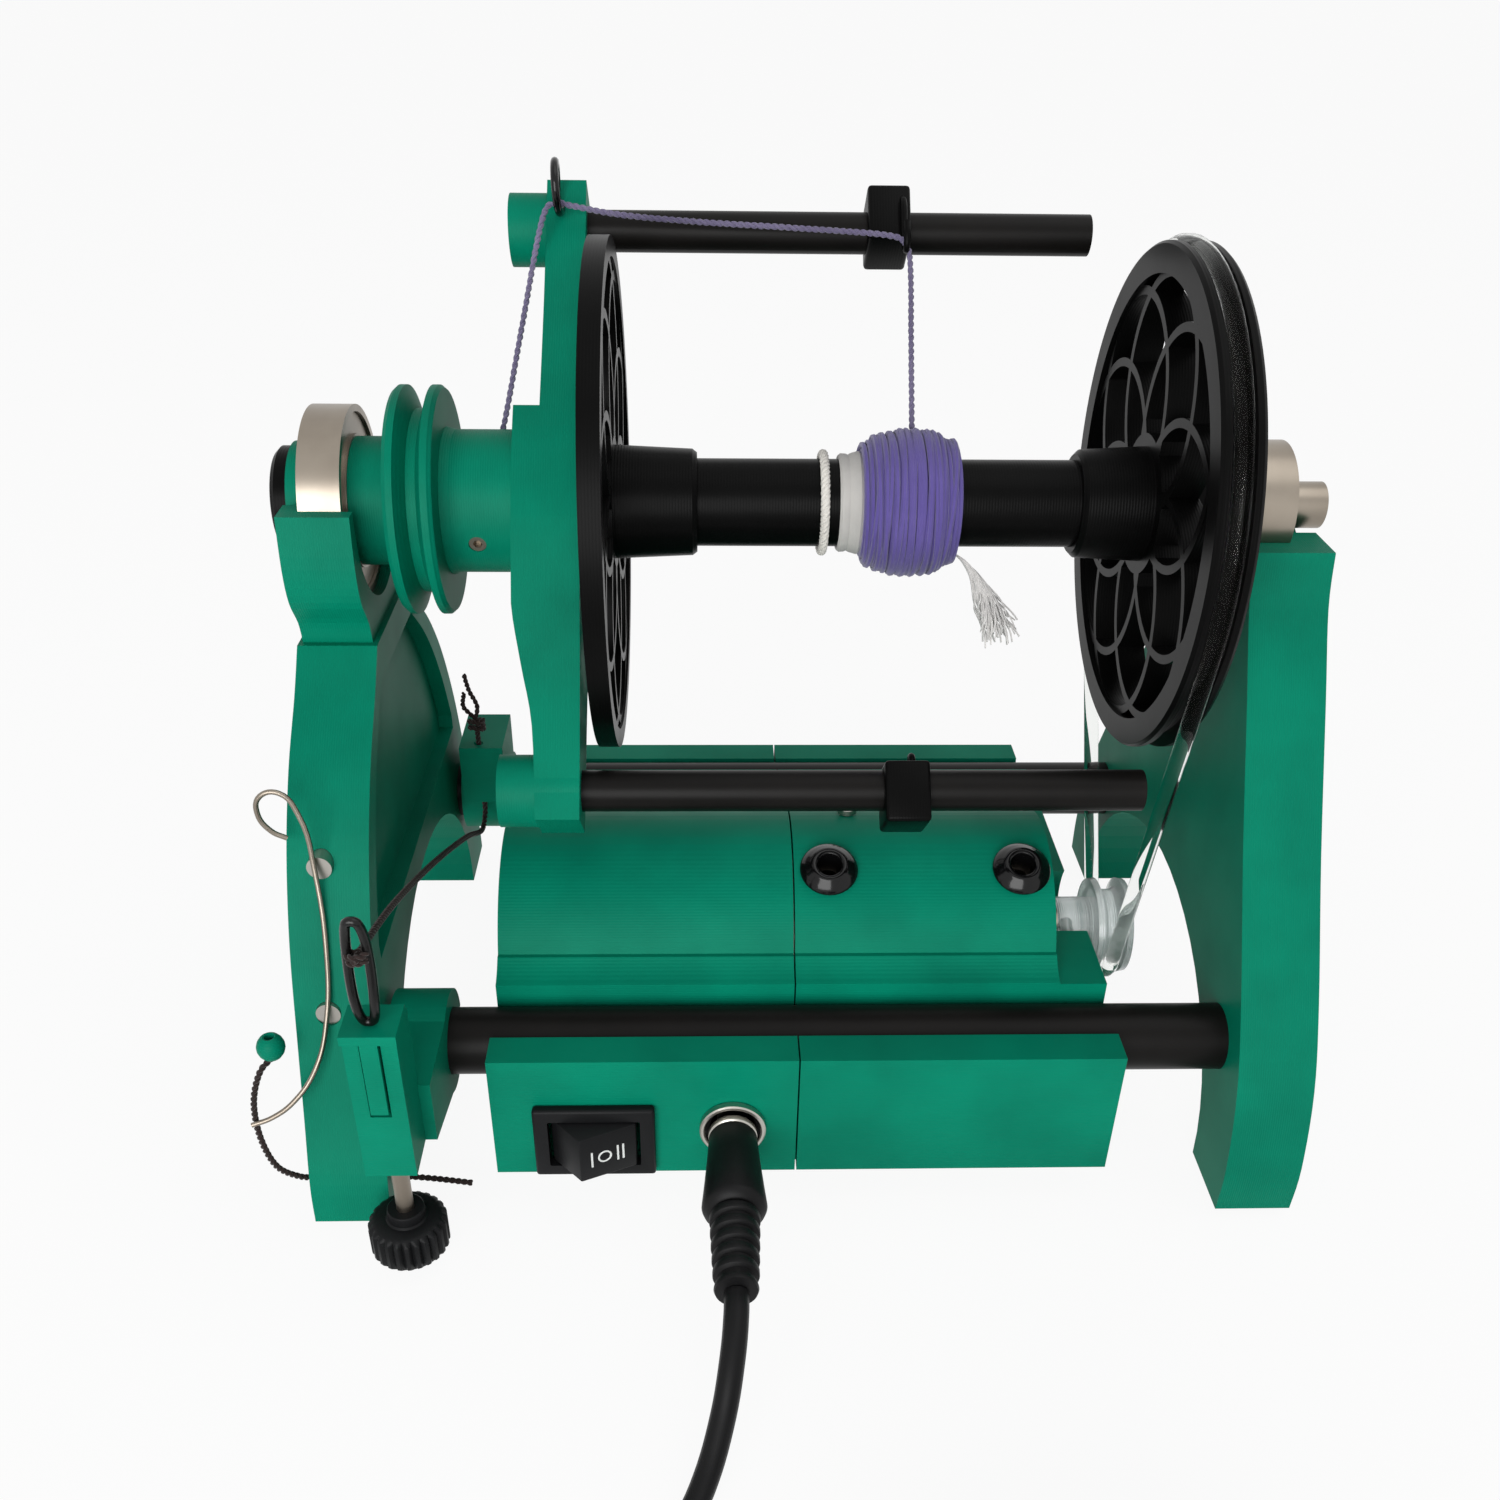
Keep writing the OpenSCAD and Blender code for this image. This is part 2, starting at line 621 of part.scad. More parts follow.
module guide_lower() {
    guide(guide_low_x, -1);
}

eyelet_x = -25.5;
eyelet_z = 52.5;
eyelet_y = -10.9;
eyelet_r = 4;
module threading_eyelet() {
    loop = [for (i = [0 : 20]) let (a = 15 + 330 * i / 20) [eyelet_x + 0.9 * i / 20 - 0.45,
        eyelet_y + eyelet_r * cos(a), eyelet_z + eyelet_r * sin(a)]];
    color(black) place() flyer_frame() cord(concat([[eyelet_x, -4.2, eyelet_z], [eyelet_x, -5.6, eyelet_z]], loop), 1.4);
}

module axle() {
    color(steel) place() difference() {
        along_x(axle_x, axle_d / 2);
        translate([axle_x[1] - 3, 0, axis_h]) rotate([0, 90, 0]) cylinder(h = 4, r = 1.3);
    }
}

// The rosette: overlapping rings between a hub and a rim.
module rosette(hub, rim) {
    ring_r = (rim - 1) / 2 + 1.2;
    rib = 1.5;
    intersection() {
        circle(r = rim);
        union() {
            for (i = [0 : rosette_n - 1]) rotate(360 * i / rosette_n) translate([ring_r - 0.6, 0]) difference() {
                circle(r = ring_r);
                circle(r = ring_r - rib);
            }
            circle(r = hub);
        }
    }
}

bobbin_bore = axle_d / 2 + 0.06;
core_r = 7.4;
module bobbin_core() {
    color(black) place() tube_x([flange_x[1] - 2, whorl_x[0] + 2], core_r, bobbin_bore + 1.2);
}

module bobbin_flange() {
    rim = 3.2;
    color(black) place() difference() {
        union() {
            tube_x(flange_x, flange_r, flange_r - rim);
            plate_x([flange_x[0] + 0.4, flange_x[1] - 0.4]) translate([0, axis_h]) rosette(11, flange_r - rim + 0.5);
            tube_x([flange_x[0] - 1.7, flange_x[1]], 8, bobbin_bore);
            turned([[flange_x[1] - 0.5, 0], [flange_x[1] - 0.5, 9.6], [collar_l_x - 0.8, 9], [collar_l_x, 8.4], [collar_l_x, 0]]);
        }
        along_x([flange_x[1] - 2, collar_l_x + 1], core_r + 0.02);
        along_x([flange_x[0] - 5, collar_l_x], bobbin_bore);
    }
}

module bobbin_whorl() {
    c = belt_x;
    g = whorl_groove_r - 0.2;
    rim = flange_r - 5;
    color(black) place() difference() {
        union() {
            turned([[whorl_x[0], rim], [whorl_x[0], flange_r - 0.5], [whorl_x[0] + 0.6, flange_r], [c - 1.9, flange_r],
                [c - 1, g], [c + 1, g], [c + 1.9, flange_r], [whorl_x[1] - 0.6, flange_r], [whorl_x[1], flange_r - 0.5], [whorl_x[1], rim]]);
            plate_x([whorl_x[0] + 0.8, whorl_x[1] - 1.2]) translate([0, axis_h]) rosette(12, rim + 0.5);
            turned([[collar_r_x, 0], [collar_r_x, 8.4], [collar_r_x + 0.8, 9.2], [whorl_x[0] + 1, 9.8], [whorl_x[0] + 1, 0]]);
            turned([[whorl_x[1] - 1.3, 0], [whorl_x[1] - 1.3, 9], [92.6, 6], [92.6, 0]]);
        }
        along_x([collar_r_x - 1, whorl_x[0] + 2], core_r + 0.02);
        along_x([collar_r_x - 1, 94], bobbin_bore);
    }
}

yarn_x = [26.5, 44];
module yarn_package() {
    bulge = [for (i = [0 : 8]) let (t = i / 8) [yarn_x[0] + (yarn_x[1] - yarn_x[0]) * t, 8.6 + 3.4 * pow(sin(180 * (0.08 + 0.84 * t)), 0.6)]];
    color([0.42, 0.36, 0.68]) place() turned(concat([[yarn_x[0], core_r + 0.02]], bulge, [[yarn_x[1], core_r + 0.02]]));
}

// White leader: one turn of string and a wrap of cloth beside the yarn.
module leader_band() {
    color("white") place() union() {
        translate([20.3, 0, axis_h]) rotate([0, 90, 0]) rotate_extrude() translate([core_r + 0.85, 0]) circle(d = 1.6, $fn = 16);
        tube_x([23.2, yarn_x[0]], core_r + 0.8, core_r + 0.02);
    }
}

// The strand runs from the package over the guide and the eyelet into the hub.
strand_route = [[36, -3, 12.35], [36, -5, 28], [36, -6.5, 41], [35.2, -6.7, 45], [32, -6.7, 46.8], [16, -6.7, 48],
    [0, -6.9, 48.8], [-14, -7.8, 49.4], [-23, -9.4, 50], [-25.6, -10.2, 49.9], [-28, -10, 47], [-31.6, -6, 30], [-35.2, -1.4, 13.2],
    [-37, -0.4, 8.6]];
module yarn_strand() {
    color([0.42, 0.36, 0.68]) place() flyer_frame() cord(smooth(strand_route, 3), 1);
}

// Tension bracket on the front rod: a clamp with a T-slot tower for the screw.
tower = [-51.8, -70.8];
bracket_x = [-55.4, -45.6];
block_z = [25, 53];
slot_z = block_z[1] - 15;
module bracket_front() {
    y = frame_y - tie_y;
    color(green) place() difference() {
        union() {
            plate_x(bracket_x) union() {
                translate([y, tie_z]) circle(r = 9.4);
                polygon([[y - 21, block_z[0]], [y - 21, 37.2], [y - 3, 37.2], [y + 2, tie_z], [y - 3, tie_z - 8.4]]);
            }
            translate([tower[0] - 4.2, tower[1] - 4.6, block_z[0]]) cube([8.4, 9.2, block_z[1] - block_z[0]]);
        }
        along_x([bracket_x[0] - 1, bracket_x[1] + 1], tie_d / 2 + fit, y, tie_z);
        translate([tower[0], tower[1], block_z[0] - 2]) cylinder(h = 32, r = 1.85);
        translate([tower[0] - 1.7, tower[1] - 10, slot_z]) cube([3.4, 10, 20]);
        translate([tower[0] - 3.1, tower[1] - 2.9, slot_z]) cube([6.2, 6, 20]);
        translate([bracket_x[0] - 1, y + 4, tie_z - 0.6]) cube([20, 8, 1.2]);
    }
}

// The T-shaped nut that the screw draws up and down in its slot.
module tension_slider() {
    color(green) place() difference() {
        union() {
            translate([tower[0] - 2.8, tower[1] - 2.6, slot_z + 1]) cube([5.6, 5.4, 14.4]);
            translate([tower[0] - 1.4, tower[1] - 5.2, slot_z + 1]) cube([2.8, 3, 14.4]);
            translate([tower[0] - 4.4, tower[1] - 5.2, block_z[1] + 0.3]) cube([8.8, 8, 1.7]);
        }
        translate([tower[0], tower[1], slot_z]) cylinder(h = 13, r = 1.55);
    }
}

loop_y = tower[1] - 2.6;
loop_top = 75;
loop_r = 1.7;
module tension_loop() {
    low = block_z[1] + 2.8 + loop_r;
    high = loop_top - loop_r;
    loop = concat([for (t = [-90 : 22.5 : 0]) [t, low]], [for (t = [0 : 22.5 : 180]) [t, high]],
        [for (t = [180 : 20.5 : 262]) [t, low]]);
    color(black) place() cord([for (p = loop) [tower[0] + loop_r * cos(p[0]), loop_y, p[1] + loop_r * sin(p[0])]], 1.5);
}

module tension_screw() {
    color(steel) place() translate([tower[0], tower[1], 12]) cylinder(h = 36.5, r = 1.5);
}

knob_r = 6.7;
module tension_knob() {
    flutes = 24;
    color(black) place() translate([tower[0], tower[1], 3.4]) difference() {
        rotate_extrude() polygon([[0, 0], [5.4, 0], [knob_r, 1], [knob_r, 6.4], [5.6, 7.4], [3.4, 7.8], [3.2, 9.6], [0, 9.6]]);
        for (i = [0 : flutes - 1]) rotate(360 * i / flutes) translate([knob_r + 0.25, 0, -1]) cylinder(h = 9, r = 0.55, $fn = 16);
        translate([0, 0, 8.55]) cylinder(h = 3, r = 1.52);
    }
}

// Small clip on the rear rod that anchors the brake cord.
rear_clip_x = [-55.2, -44.4];
module bracket_rear() {
    y = frame_y + tie_y;
    color(green) place() difference() {
        union() {
            along_x(rear_clip_x, 8.6, y, tie_z);
            translate([rear_clip_x[0] + 1.4, y - 12.6, 33]) cube([rear_clip_x[1] - rear_clip_x[0] - 1.4, 16, 13.5]);
        }
        along_x([rear_clip_x[0] - 1, rear_clip_x[1] + 1], tie_d / 2 + fit, y, tie_z);
        translate([rear_hole[0], rear_hole[1], tie_z]) cylinder(h = 20, r = 1);
        translate([rear_clip_x[0] - 1, y + 3, tie_z - 0.6]) cube([20, 8, 1.2]);
    }
}

// The brake cord runs from the loop to the underside of the rear clip and is knotted above it.
rear_hole = [(rear_clip_x[0] + rear_clip_x[1]) / 2, frame_y + tie_y - 10.2];
brake_route = [[tower[0], loop_y - 2.4, 68.2], [tower[0], loop_y + 2, 68], [-51.5, -50, 61.6], [-50.9, -20, 50],
    [-50.2, 10, 36.8], [-49.9, 26, 28.4], [rear_hole[0], 31.6, 28.6], [rear_hole[0], rear_hole[1], 31.6],
    [rear_hole[0], rear_hole[1], 40], [rear_hole[0], rear_hole[1], 51.4]];
knot_ends = [[[-48.6, 33.4, 51], [-51.4, 34, 52], [-52.4, 33.6, 55], [-51.8, 33, 58.6]],
    [[-50.6, 33, 51.4], [-49.6, 33.8, 55], [-50.8, 33.6, 59], [-51.4, 33, 63]]];
module brake_cord() {
    color([0.16, 0.07, 0.05]) place() union() {
        cord(smooth(brake_route, 3), 1.2);
        translate([rear_hole[0], rear_hole[1], 51.6]) sphere(r = 2, $fn = 24);
        translate([tower[0], loop_y - 2.6, 68.2]) sphere(r = 1.5, $fn = 24);
        for (e = knot_ends) cord(smooth(e, 3), 1.2);
    }
}

magnet_x = -64.6;
magnet_z = [64.5, 40.8];
magnet_r = 2.1;
function magnet_y(z) = frame_y - lookup(z, [[40.8, 51.1], [64.5, 41.8]]);
module magnets() {
    color(steel) place() for (z = magnet_z) translate([magnet_x, magnet_y(z) + 1.9, z]) rotate([90, 0, 0])
        cylinder(h = 5, r = magnet_r, center = true);
}

// Bent wire threading hook held across the two magnets.
hook_route = [[-69.2, -42.8, 69.9], [-71.4, -43.2, 71.5], [-73, -43.4, 74.9], [-72, -43.4, 78.3], [-69, -43.2, 78.7],
    [-66.4, -43.4, 74.6], [-65, -44.9, 64.5], [-64, -49.6, 52], [-64.6, -54.2, 40.8], [-66.8, -58, 33], [-70.6, -60.6, 28],
    [-74.4, -61.8, 25.4], [-78, -62.4, 24.2]];
module threading_hook() {
    color(steel) place() cord(smooth(hook_route, 4), 0.9);
}

tether_y = -57;
tether_z = 6.2;
tether_route = [[-73.4, -58.4, 36], [-75.6, -60, 34], [-77.4, -61, 28], [-77.6, -61.2, 20], [-76.2, -60.6, 12.6], [-73.4, -58.6, 8],
    [-70.6, -57, 6.2], [-63, -57, 6.2], [-56, -57, 6.2], [-50, -57.2, 5.8], [-43, -57.6, 5]];
module tether_cord() {
    color([0.1, 0.07, 0.06]) place() cord(smooth(tether_route, 3), 1.2);
}

module tether_bead() {
    color(green) place() translate([-73.4, -58.4, 38.3]) difference() {
        sphere(r = 2.4, $fn = 24);
        cylinder(h = 6, r = 0.8, center = true);
    }
}

module rubber_feet() {
    color(black) place() for (x = [(left_out + left_in) / 2, (right_in + right_out) / 2], side = [-1, 1])
        translate([x, frame_y + side * 54.5, 0]) rotate_extrude() polygon([[0, 0], [4.2, 0], [5, floor_gap], [0, floor_gap]]);
}

upright_left();
cradle_block();
upright_right();
tie_rod_front();
tie_rod_rear();
case_left();
case_right();
case_cover();
cover_screws();
switch_bezel();
switch_rocker();
dc_socket();
dc_plug();
power_cord();
cord_coil();
power_adapter();
top_grommets();
case_screw();
gear_motor();
motor_screws();
control_board();
motor_pulley();
drive_belt();
bearing_left_outer();
bearing_left_inner();
bearing_right_outer();
bearing_right_inner();
orifice_ring();
flyer_hub();
brake_pulley();
flyer_arm();
rod_upper();
rod_lower();
guide_upper();
guide_lower();
threading_eyelet();
axle();
hub_screws();
bobbin_core();
bobbin_flange();
bobbin_whorl();
yarn_package();
leader_band();
yarn_strand();
bracket_front();
tension_slider();
tension_loop();
tension_screw();
tension_knob();
bracket_rear();
brake_cord();
magnets();
threading_hook();
tether_cord();
tether_bead();
rubber_feet();
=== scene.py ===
"""Electric yarn spinner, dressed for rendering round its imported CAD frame.

Sizes are in millimetres on the machine's own axes, as in the part's source:
X runs along the spindle, Y from front to back and Z up from the table.
"""

import json
import logging
import random
from collections.abc import Iterable, Sequence
from dataclasses import dataclass, field
from enum import Enum
from math import asin, atan2, copysign, cos, hypot, pi, radians, sin, sqrt, tau

import bpy
from mathutils import Matrix, Vector

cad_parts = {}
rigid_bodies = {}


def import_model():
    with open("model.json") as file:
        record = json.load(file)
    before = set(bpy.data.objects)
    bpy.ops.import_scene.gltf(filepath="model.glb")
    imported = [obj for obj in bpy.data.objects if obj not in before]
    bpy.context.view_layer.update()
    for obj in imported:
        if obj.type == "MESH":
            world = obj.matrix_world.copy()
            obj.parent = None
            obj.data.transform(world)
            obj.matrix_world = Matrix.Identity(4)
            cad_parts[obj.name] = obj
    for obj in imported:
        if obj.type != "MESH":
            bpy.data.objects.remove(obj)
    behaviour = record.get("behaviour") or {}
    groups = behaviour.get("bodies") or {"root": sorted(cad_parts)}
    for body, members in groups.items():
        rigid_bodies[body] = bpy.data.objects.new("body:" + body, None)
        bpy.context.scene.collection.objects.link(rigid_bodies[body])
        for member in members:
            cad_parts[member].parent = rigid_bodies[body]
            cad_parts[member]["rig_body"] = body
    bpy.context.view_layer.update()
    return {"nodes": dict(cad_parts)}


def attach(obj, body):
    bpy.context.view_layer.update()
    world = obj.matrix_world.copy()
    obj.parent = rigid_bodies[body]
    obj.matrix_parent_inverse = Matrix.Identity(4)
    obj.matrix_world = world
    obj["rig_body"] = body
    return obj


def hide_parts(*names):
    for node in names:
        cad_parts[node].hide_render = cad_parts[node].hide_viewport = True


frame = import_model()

MM = 0.001
MID_X = 15.0
MID_Y = 8.175
AXIS_H = 112.0
MOTOR_AT = (-14.0, 31.0)
FLYER_TURN = radians(-43.0)
PATCH_SCALE, PATCH_DETAIL, PATCH_RANGE = 55.0, 5.0, (0.35, 0.7)
COAT_ROUGHNESS = 0.08
BUMP_STRENGTH = 0.6
WAVE_UNIT, WAVE_DISTORTION = 20, 0.4
GRAIN_DETAIL = 3.0
SRGB_KNEE = 10
CURVE_STEPS = 12
TWIST_STEPS = 8
END_SHARE = 0.3
NEAR_UPRIGHT = 0.9
PLY_SQUEEZE = 1.12
WHITE = (1.0, 1.0, 1.0, 1.0)
Point = Sequence[float]
Pair = tuple[float, float]
Triple = tuple[float, float, float]
Profile = Sequence[Pair]
Route = tuple[Point, ...]
Piece = bpy.types.Object
Socket = bpy.types.NodeSocket
log = logging.getLogger("spinner")


def spot(p: Point) -> Vector:
    """Moves a point in machine millimetres to the row frame.

    Args:
        p: The point, in millimetres.

    Returns:
        The same point in metres, in the frame's axes.
    """
    return Vector((p[0] - MID_X, p[1] + MID_Y, p[2])) * MM


def spots(points: Iterable[Point]) -> list[Vector]:
    """Moves several machine points to the row frame."""
    return [spot(p) for p in points]


def flyer_spot(p: Point) -> Vector:
    """Moves a point of the flyer's own frame, which leans back, to the row frame.

    Args:
        p: The point, in millimetres from the spindle line.

    Returns:
        The point in metres, in the frame's axes.
    """
    c, s = cos(FLYER_TURN), sin(FLYER_TURN)
    return spot((p[0], p[1] * c - p[2] * s, AXIS_H + p[1] * s + p[2] * c))


class Axis(Enum):
    """The direction that a turned piece points in, as an angle and the axis of the turn from +Z."""

    UP = (0.0, "X")
    RIGHT = (pi / 2, "Y")
    FRONT = (pi / 2, "X")


class Relief(Enum):
    """The fine surface relief that a finish carries."""

    NONE = "none"
    LAYERS_UP = "Z"
    LAYERS_ALONG = "X"
    FIBRE = "fibre"
    BRUSHED = "brushed"
    GRAIN = "grain"


class Graph:
    """A node tree, with one way to add a node and one to feed it."""

    def __init__(self, tree: bpy.types.NodeTree) -> None:
        """Takes the tree."""
        self.nodes, self.links = tree.nodes, tree.links

    def feed(self, node: bpy.types.Node, inputs: dict) -> None:
        """Sets a node's inputs, each to a value or from a socket."""
        for name, value in inputs.items():
            if isinstance(value, Socket):
                self.links.new(value, node.inputs[name])
            else:
                node.inputs[name].default_value = value

    def add(self, kind: str, inputs: dict | None = None) -> bpy.types.Node:
        """Adds a node.

        Args:
            kind: Its type, after the words they all start with.
            inputs: What its inputs get.

        Returns:
            The node.
        """
        node = self.nodes.new(f"ShaderNode{kind}")
        self.feed(node, inputs or {})
        return node


@dataclass(frozen=True)
class Finish:
    """A procedural finish, with its colours as they look under plain light.

    Attributes:
        name: The material's name.
        colour: Main colour, red, green and blue from 0 to 255.
        patch: Colour of the faint patches that break up the main one.
        rough: Lowest and highest roughness over the surface.
        relief: Kind of fine relief.
        depth: Relief depth in millimetres.
        pitch: Relief pitch in millimetres.
        metal: Metallic share.
        coat: Weight of a clear coat.
        sheen: Weight of the fibre sheen.
        specular: Specular level.
        clear: Transmission share.
        bend: Index of refraction.
    """

    name: str
    colour: Triple
    patch: Triple
    rough: Pair = (0.4, 0.55)
    relief: Relief = Relief.NONE
    depth: float = 0.02
    pitch: float = 0.4
    metal: float = 0.0
    coat: float = 0.0
    sheen: float = 0.0
    specular: float = 0.5
    clear: float = 0.0
    bend: float = 1.5

    @staticmethod
    def linear(rgb: Sequence[float]) -> tuple[float, float, float, float]:
        """Turns a screen colour into scene-linear light.

        Args:
            rgb: Red, green and blue from 0 to 255.

        Returns:
            The linear colour with an alpha of one.
        """
        made = [c / 255 / 12.92 if c <= SRGB_KNEE else ((c / 255 + 0.055) / 1.055) ** 2.4 for c in rgb]
        return (*made, 1.0)

    def build(self) -> bpy.types.Material:
        """Builds the node material.

        Returns:
            The finished material.
        """
        material = bpy.data.materials.new(self.name)
        material.use_nodes = True
        graph = Graph(material.node_tree)
        place = graph.add("TexCoord").outputs["Object"]
        patches = graph.add("TexNoise", {"Scale": PATCH_SCALE, "Detail": PATCH_DETAIL, "Vector": place}).outputs["Fac"]
        spread = graph.add("MapRange", {"From Min": PATCH_RANGE[0], "From Max": PATCH_RANGE[1], "Value": patches})
        tint = graph.add("Mix")
        tint.data_type = "RGBA"
        graph.feed(tint, {0: spread.outputs["Result"], 6: self.linear(self.colour), 7: self.linear(self.patch)})
        gloss = graph.add("MapRange", {"To Min": self.rough[0], "To Max": self.rough[1], "Value": patches})
        inputs = {
            "Base Color": tint.outputs[2], "Roughness": gloss.outputs["Result"], "Metallic": self.metal,
            "Coat Weight": self.coat, "Coat Roughness": COAT_ROUGHNESS, "Sheen Weight": self.sheen,
            "Specular IOR Level": self.specular, "Transmission Weight": self.clear, "IOR": self.bend,
        }
        if self.relief is not Relief.NONE:
            height = self._relief(graph, place)
            bump = graph.add("Bump", {"Strength": BUMP_STRENGTH, "Distance": self.depth * MM, "Height": height})
            inputs["Normal"] = bump.outputs["Normal"]
        graph.feed(graph.nodes["Principled BSDF"], inputs)
        return material

    def _relief(self, graph: Graph, place: Socket) -> Socket:
        """Adds the texture that gives the relief its height.

        Args:
            graph: The material's nodes.
            place: The surface's place.

        Returns:
            The socket with the height.
        """
        if self.relief in (Relief.LAYERS_UP, Relief.LAYERS_ALONG):
            scale = 2 * pi / (WAVE_UNIT * self.pitch * MM)
            wave = graph.add("TexWave", {"Scale": scale, "Distortion": WAVE_DISTORTION, "Vector": place})
            wave.bands_direction = self.relief.value
            return wave.outputs["Fac"]
        across = {Relief.BRUSHED: 0.05, Relief.FIBRE: 0.35}.get(self.relief, 1.0)
        stretch = graph.add("Mapping", {"Scale": (1.0, across, across), "Vector": place}).outputs["Vector"]
        grain = {"Scale": 1 / (self.pitch * MM), "Detail": GRAIN_DETAIL, "Vector": stretch}
        return graph.add("TexNoise", grain).outputs["Fac"]


def cloth(
    name: str, colour: Triple, patch: Triple, depth: float, pitch: float, sheen: float,
    rough: Pair = (0.8, 0.95), specular: float = 0.2,
) -> Finish:
    """Makes a fibrous finish, with the fields that Finish has."""
    return Finish(name, colour, patch, rough, Relief.FIBRE, depth, pitch, sheen=sheen, specular=specular)


class Look(Enum):
    """Every finish on the machine."""

    PRINT_UP = Finish(
        "green_print_upright_layers", (0, 130, 102), (0, 116, 91), (0.42, 0.56), Relief.LAYERS_UP, 0.03, specular=0.07,
    )
    PRINT_ALONG = Finish(
        "green_print_flat_layers", (0, 124, 97), (0, 110, 86), (0.42, 0.56), Relief.LAYERS_ALONG, 0.03, specular=0.07,
    )
    BLACK_PRINT = Finish(
        "black_print", (6, 6, 6), (10, 10, 10), (0.28, 0.4), Relief.LAYERS_ALONG, 0.02, 0.5, specular=0.05,
    )
    BLACK_TUBE = Finish(
        "black_satin_tube", (14, 13, 12), (20, 18, 17), (0.34, 0.44), Relief.BRUSHED, 0.01, 0.6, specular=0.1,
    )
    BLACK_PLASTIC = Finish(
        "black_moulded_plastic", (16, 17, 18), (22, 22, 24), (0.4, 0.52), Relief.GRAIN, 0.02, 0.25, specular=0.12,
    )
    BLACK_GLOSS = Finish("black_gloss", (9, 9, 10), (13, 13, 14), (0.12, 0.2), coat=0.15, specular=0.2)
    RUBBER = Finish(
        "black_rubber", (12, 12, 13), (18, 18, 18), (0.55, 0.7), Relief.GRAIN, 0.03, 0.4, specular=0.1,
    )
    # Painted reflection: the steel colour is darkened and tinted brownish to stand in for the dim brown surroundings
    # it mirrors, not the metal's own neutral colour.
    STEEL = Finish(
        "bright_steel", (152, 143, 131), (128, 119, 108), (0.26, 0.42), Relief.BRUSHED, 0.006, 0.3, metal=1.0,
    )
    ZINC = Finish(
        "zinc_plate", (186, 183, 176), (162, 159, 152), (0.24, 0.4), Relief.GRAIN, 0.006, 0.3, metal=1.0,
    )
    CLEAR = Finish(
        "clear_pulley", (226, 232, 231), (205, 214, 213), (0.12, 0.26), Relief.LAYERS_ALONG, 0.02, 0.4, clear=0.72,
    )
    BELT = Finish(
        "clear_belt", (250, 251, 249), (243, 245, 243), (0.03, 0.08), specular=0.12, clear=1.0, bend=1.1,
    )
    YARN = cloth("lilac_yarn", (100, 87, 155), (74, 63, 128), 0.12, 0.35, 0.35, rough=(0.75, 0.9))
    STRAND = cloth("lilac_strand", (120, 112, 142), (92, 85, 114), 0.1, 0.3, 0.35, rough=(0.75, 0.9))
    LEADER = cloth("white_cotton", (216, 213, 206), (182, 179, 172), 0.1, 0.3, 0.3)
    GAUZE = cloth("grey_cotton", (190, 188, 184), (158, 156, 153), 0.1, 0.3, 0.2)
    FRAYED = cloth("frayed_cotton", (226, 224, 221), (192, 190, 189), 0.05, 0.2, 0.2)
    CORD = Finish(
        "black_cord", (12, 12, 13), (18, 18, 19), (0.42, 0.52), Relief.GRAIN, 0.02, 0.5, specular=0.15,
    )
    THREAD = cloth("dark_brown_thread", (40, 24, 21), (26, 17, 15), 0.06, 0.3, 0.2, rough=(0.7, 0.85), specular=0.25)
    ELASTIC = Finish(
        "black_elastic", (9, 9, 9), (16, 15, 15), (0.2, 0.32), Relief.FIBRE, 0.05, 0.5, specular=0.3,
    )
    BOARD = Finish("circuit_board", (10, 84, 44), (8, 70, 38), (0.3, 0.4), Relief.GRAIN, 0.01, 0.5)
    MARK = Finish("white_mark", (226, 228, 226), (212, 214, 212), (0.4, 0.5), Relief.GRAIN, 0.005, 0.3)


class Palette:
    """The materials, each built once."""

    def __init__(self) -> None:
        """Builds every finish."""
        self.made = {look: look.value.build() for look in Look}

    def dress(self, obj: Piece, look: Look) -> None:
        """Gives a piece its finish.

        Args:
            obj: The piece.
            look: Its finish.
        """
        if obj.material_slots:
            for slot in obj.material_slots:
                slot.material = self.made[look]
        else:
            obj.data.materials.append(self.made[look])


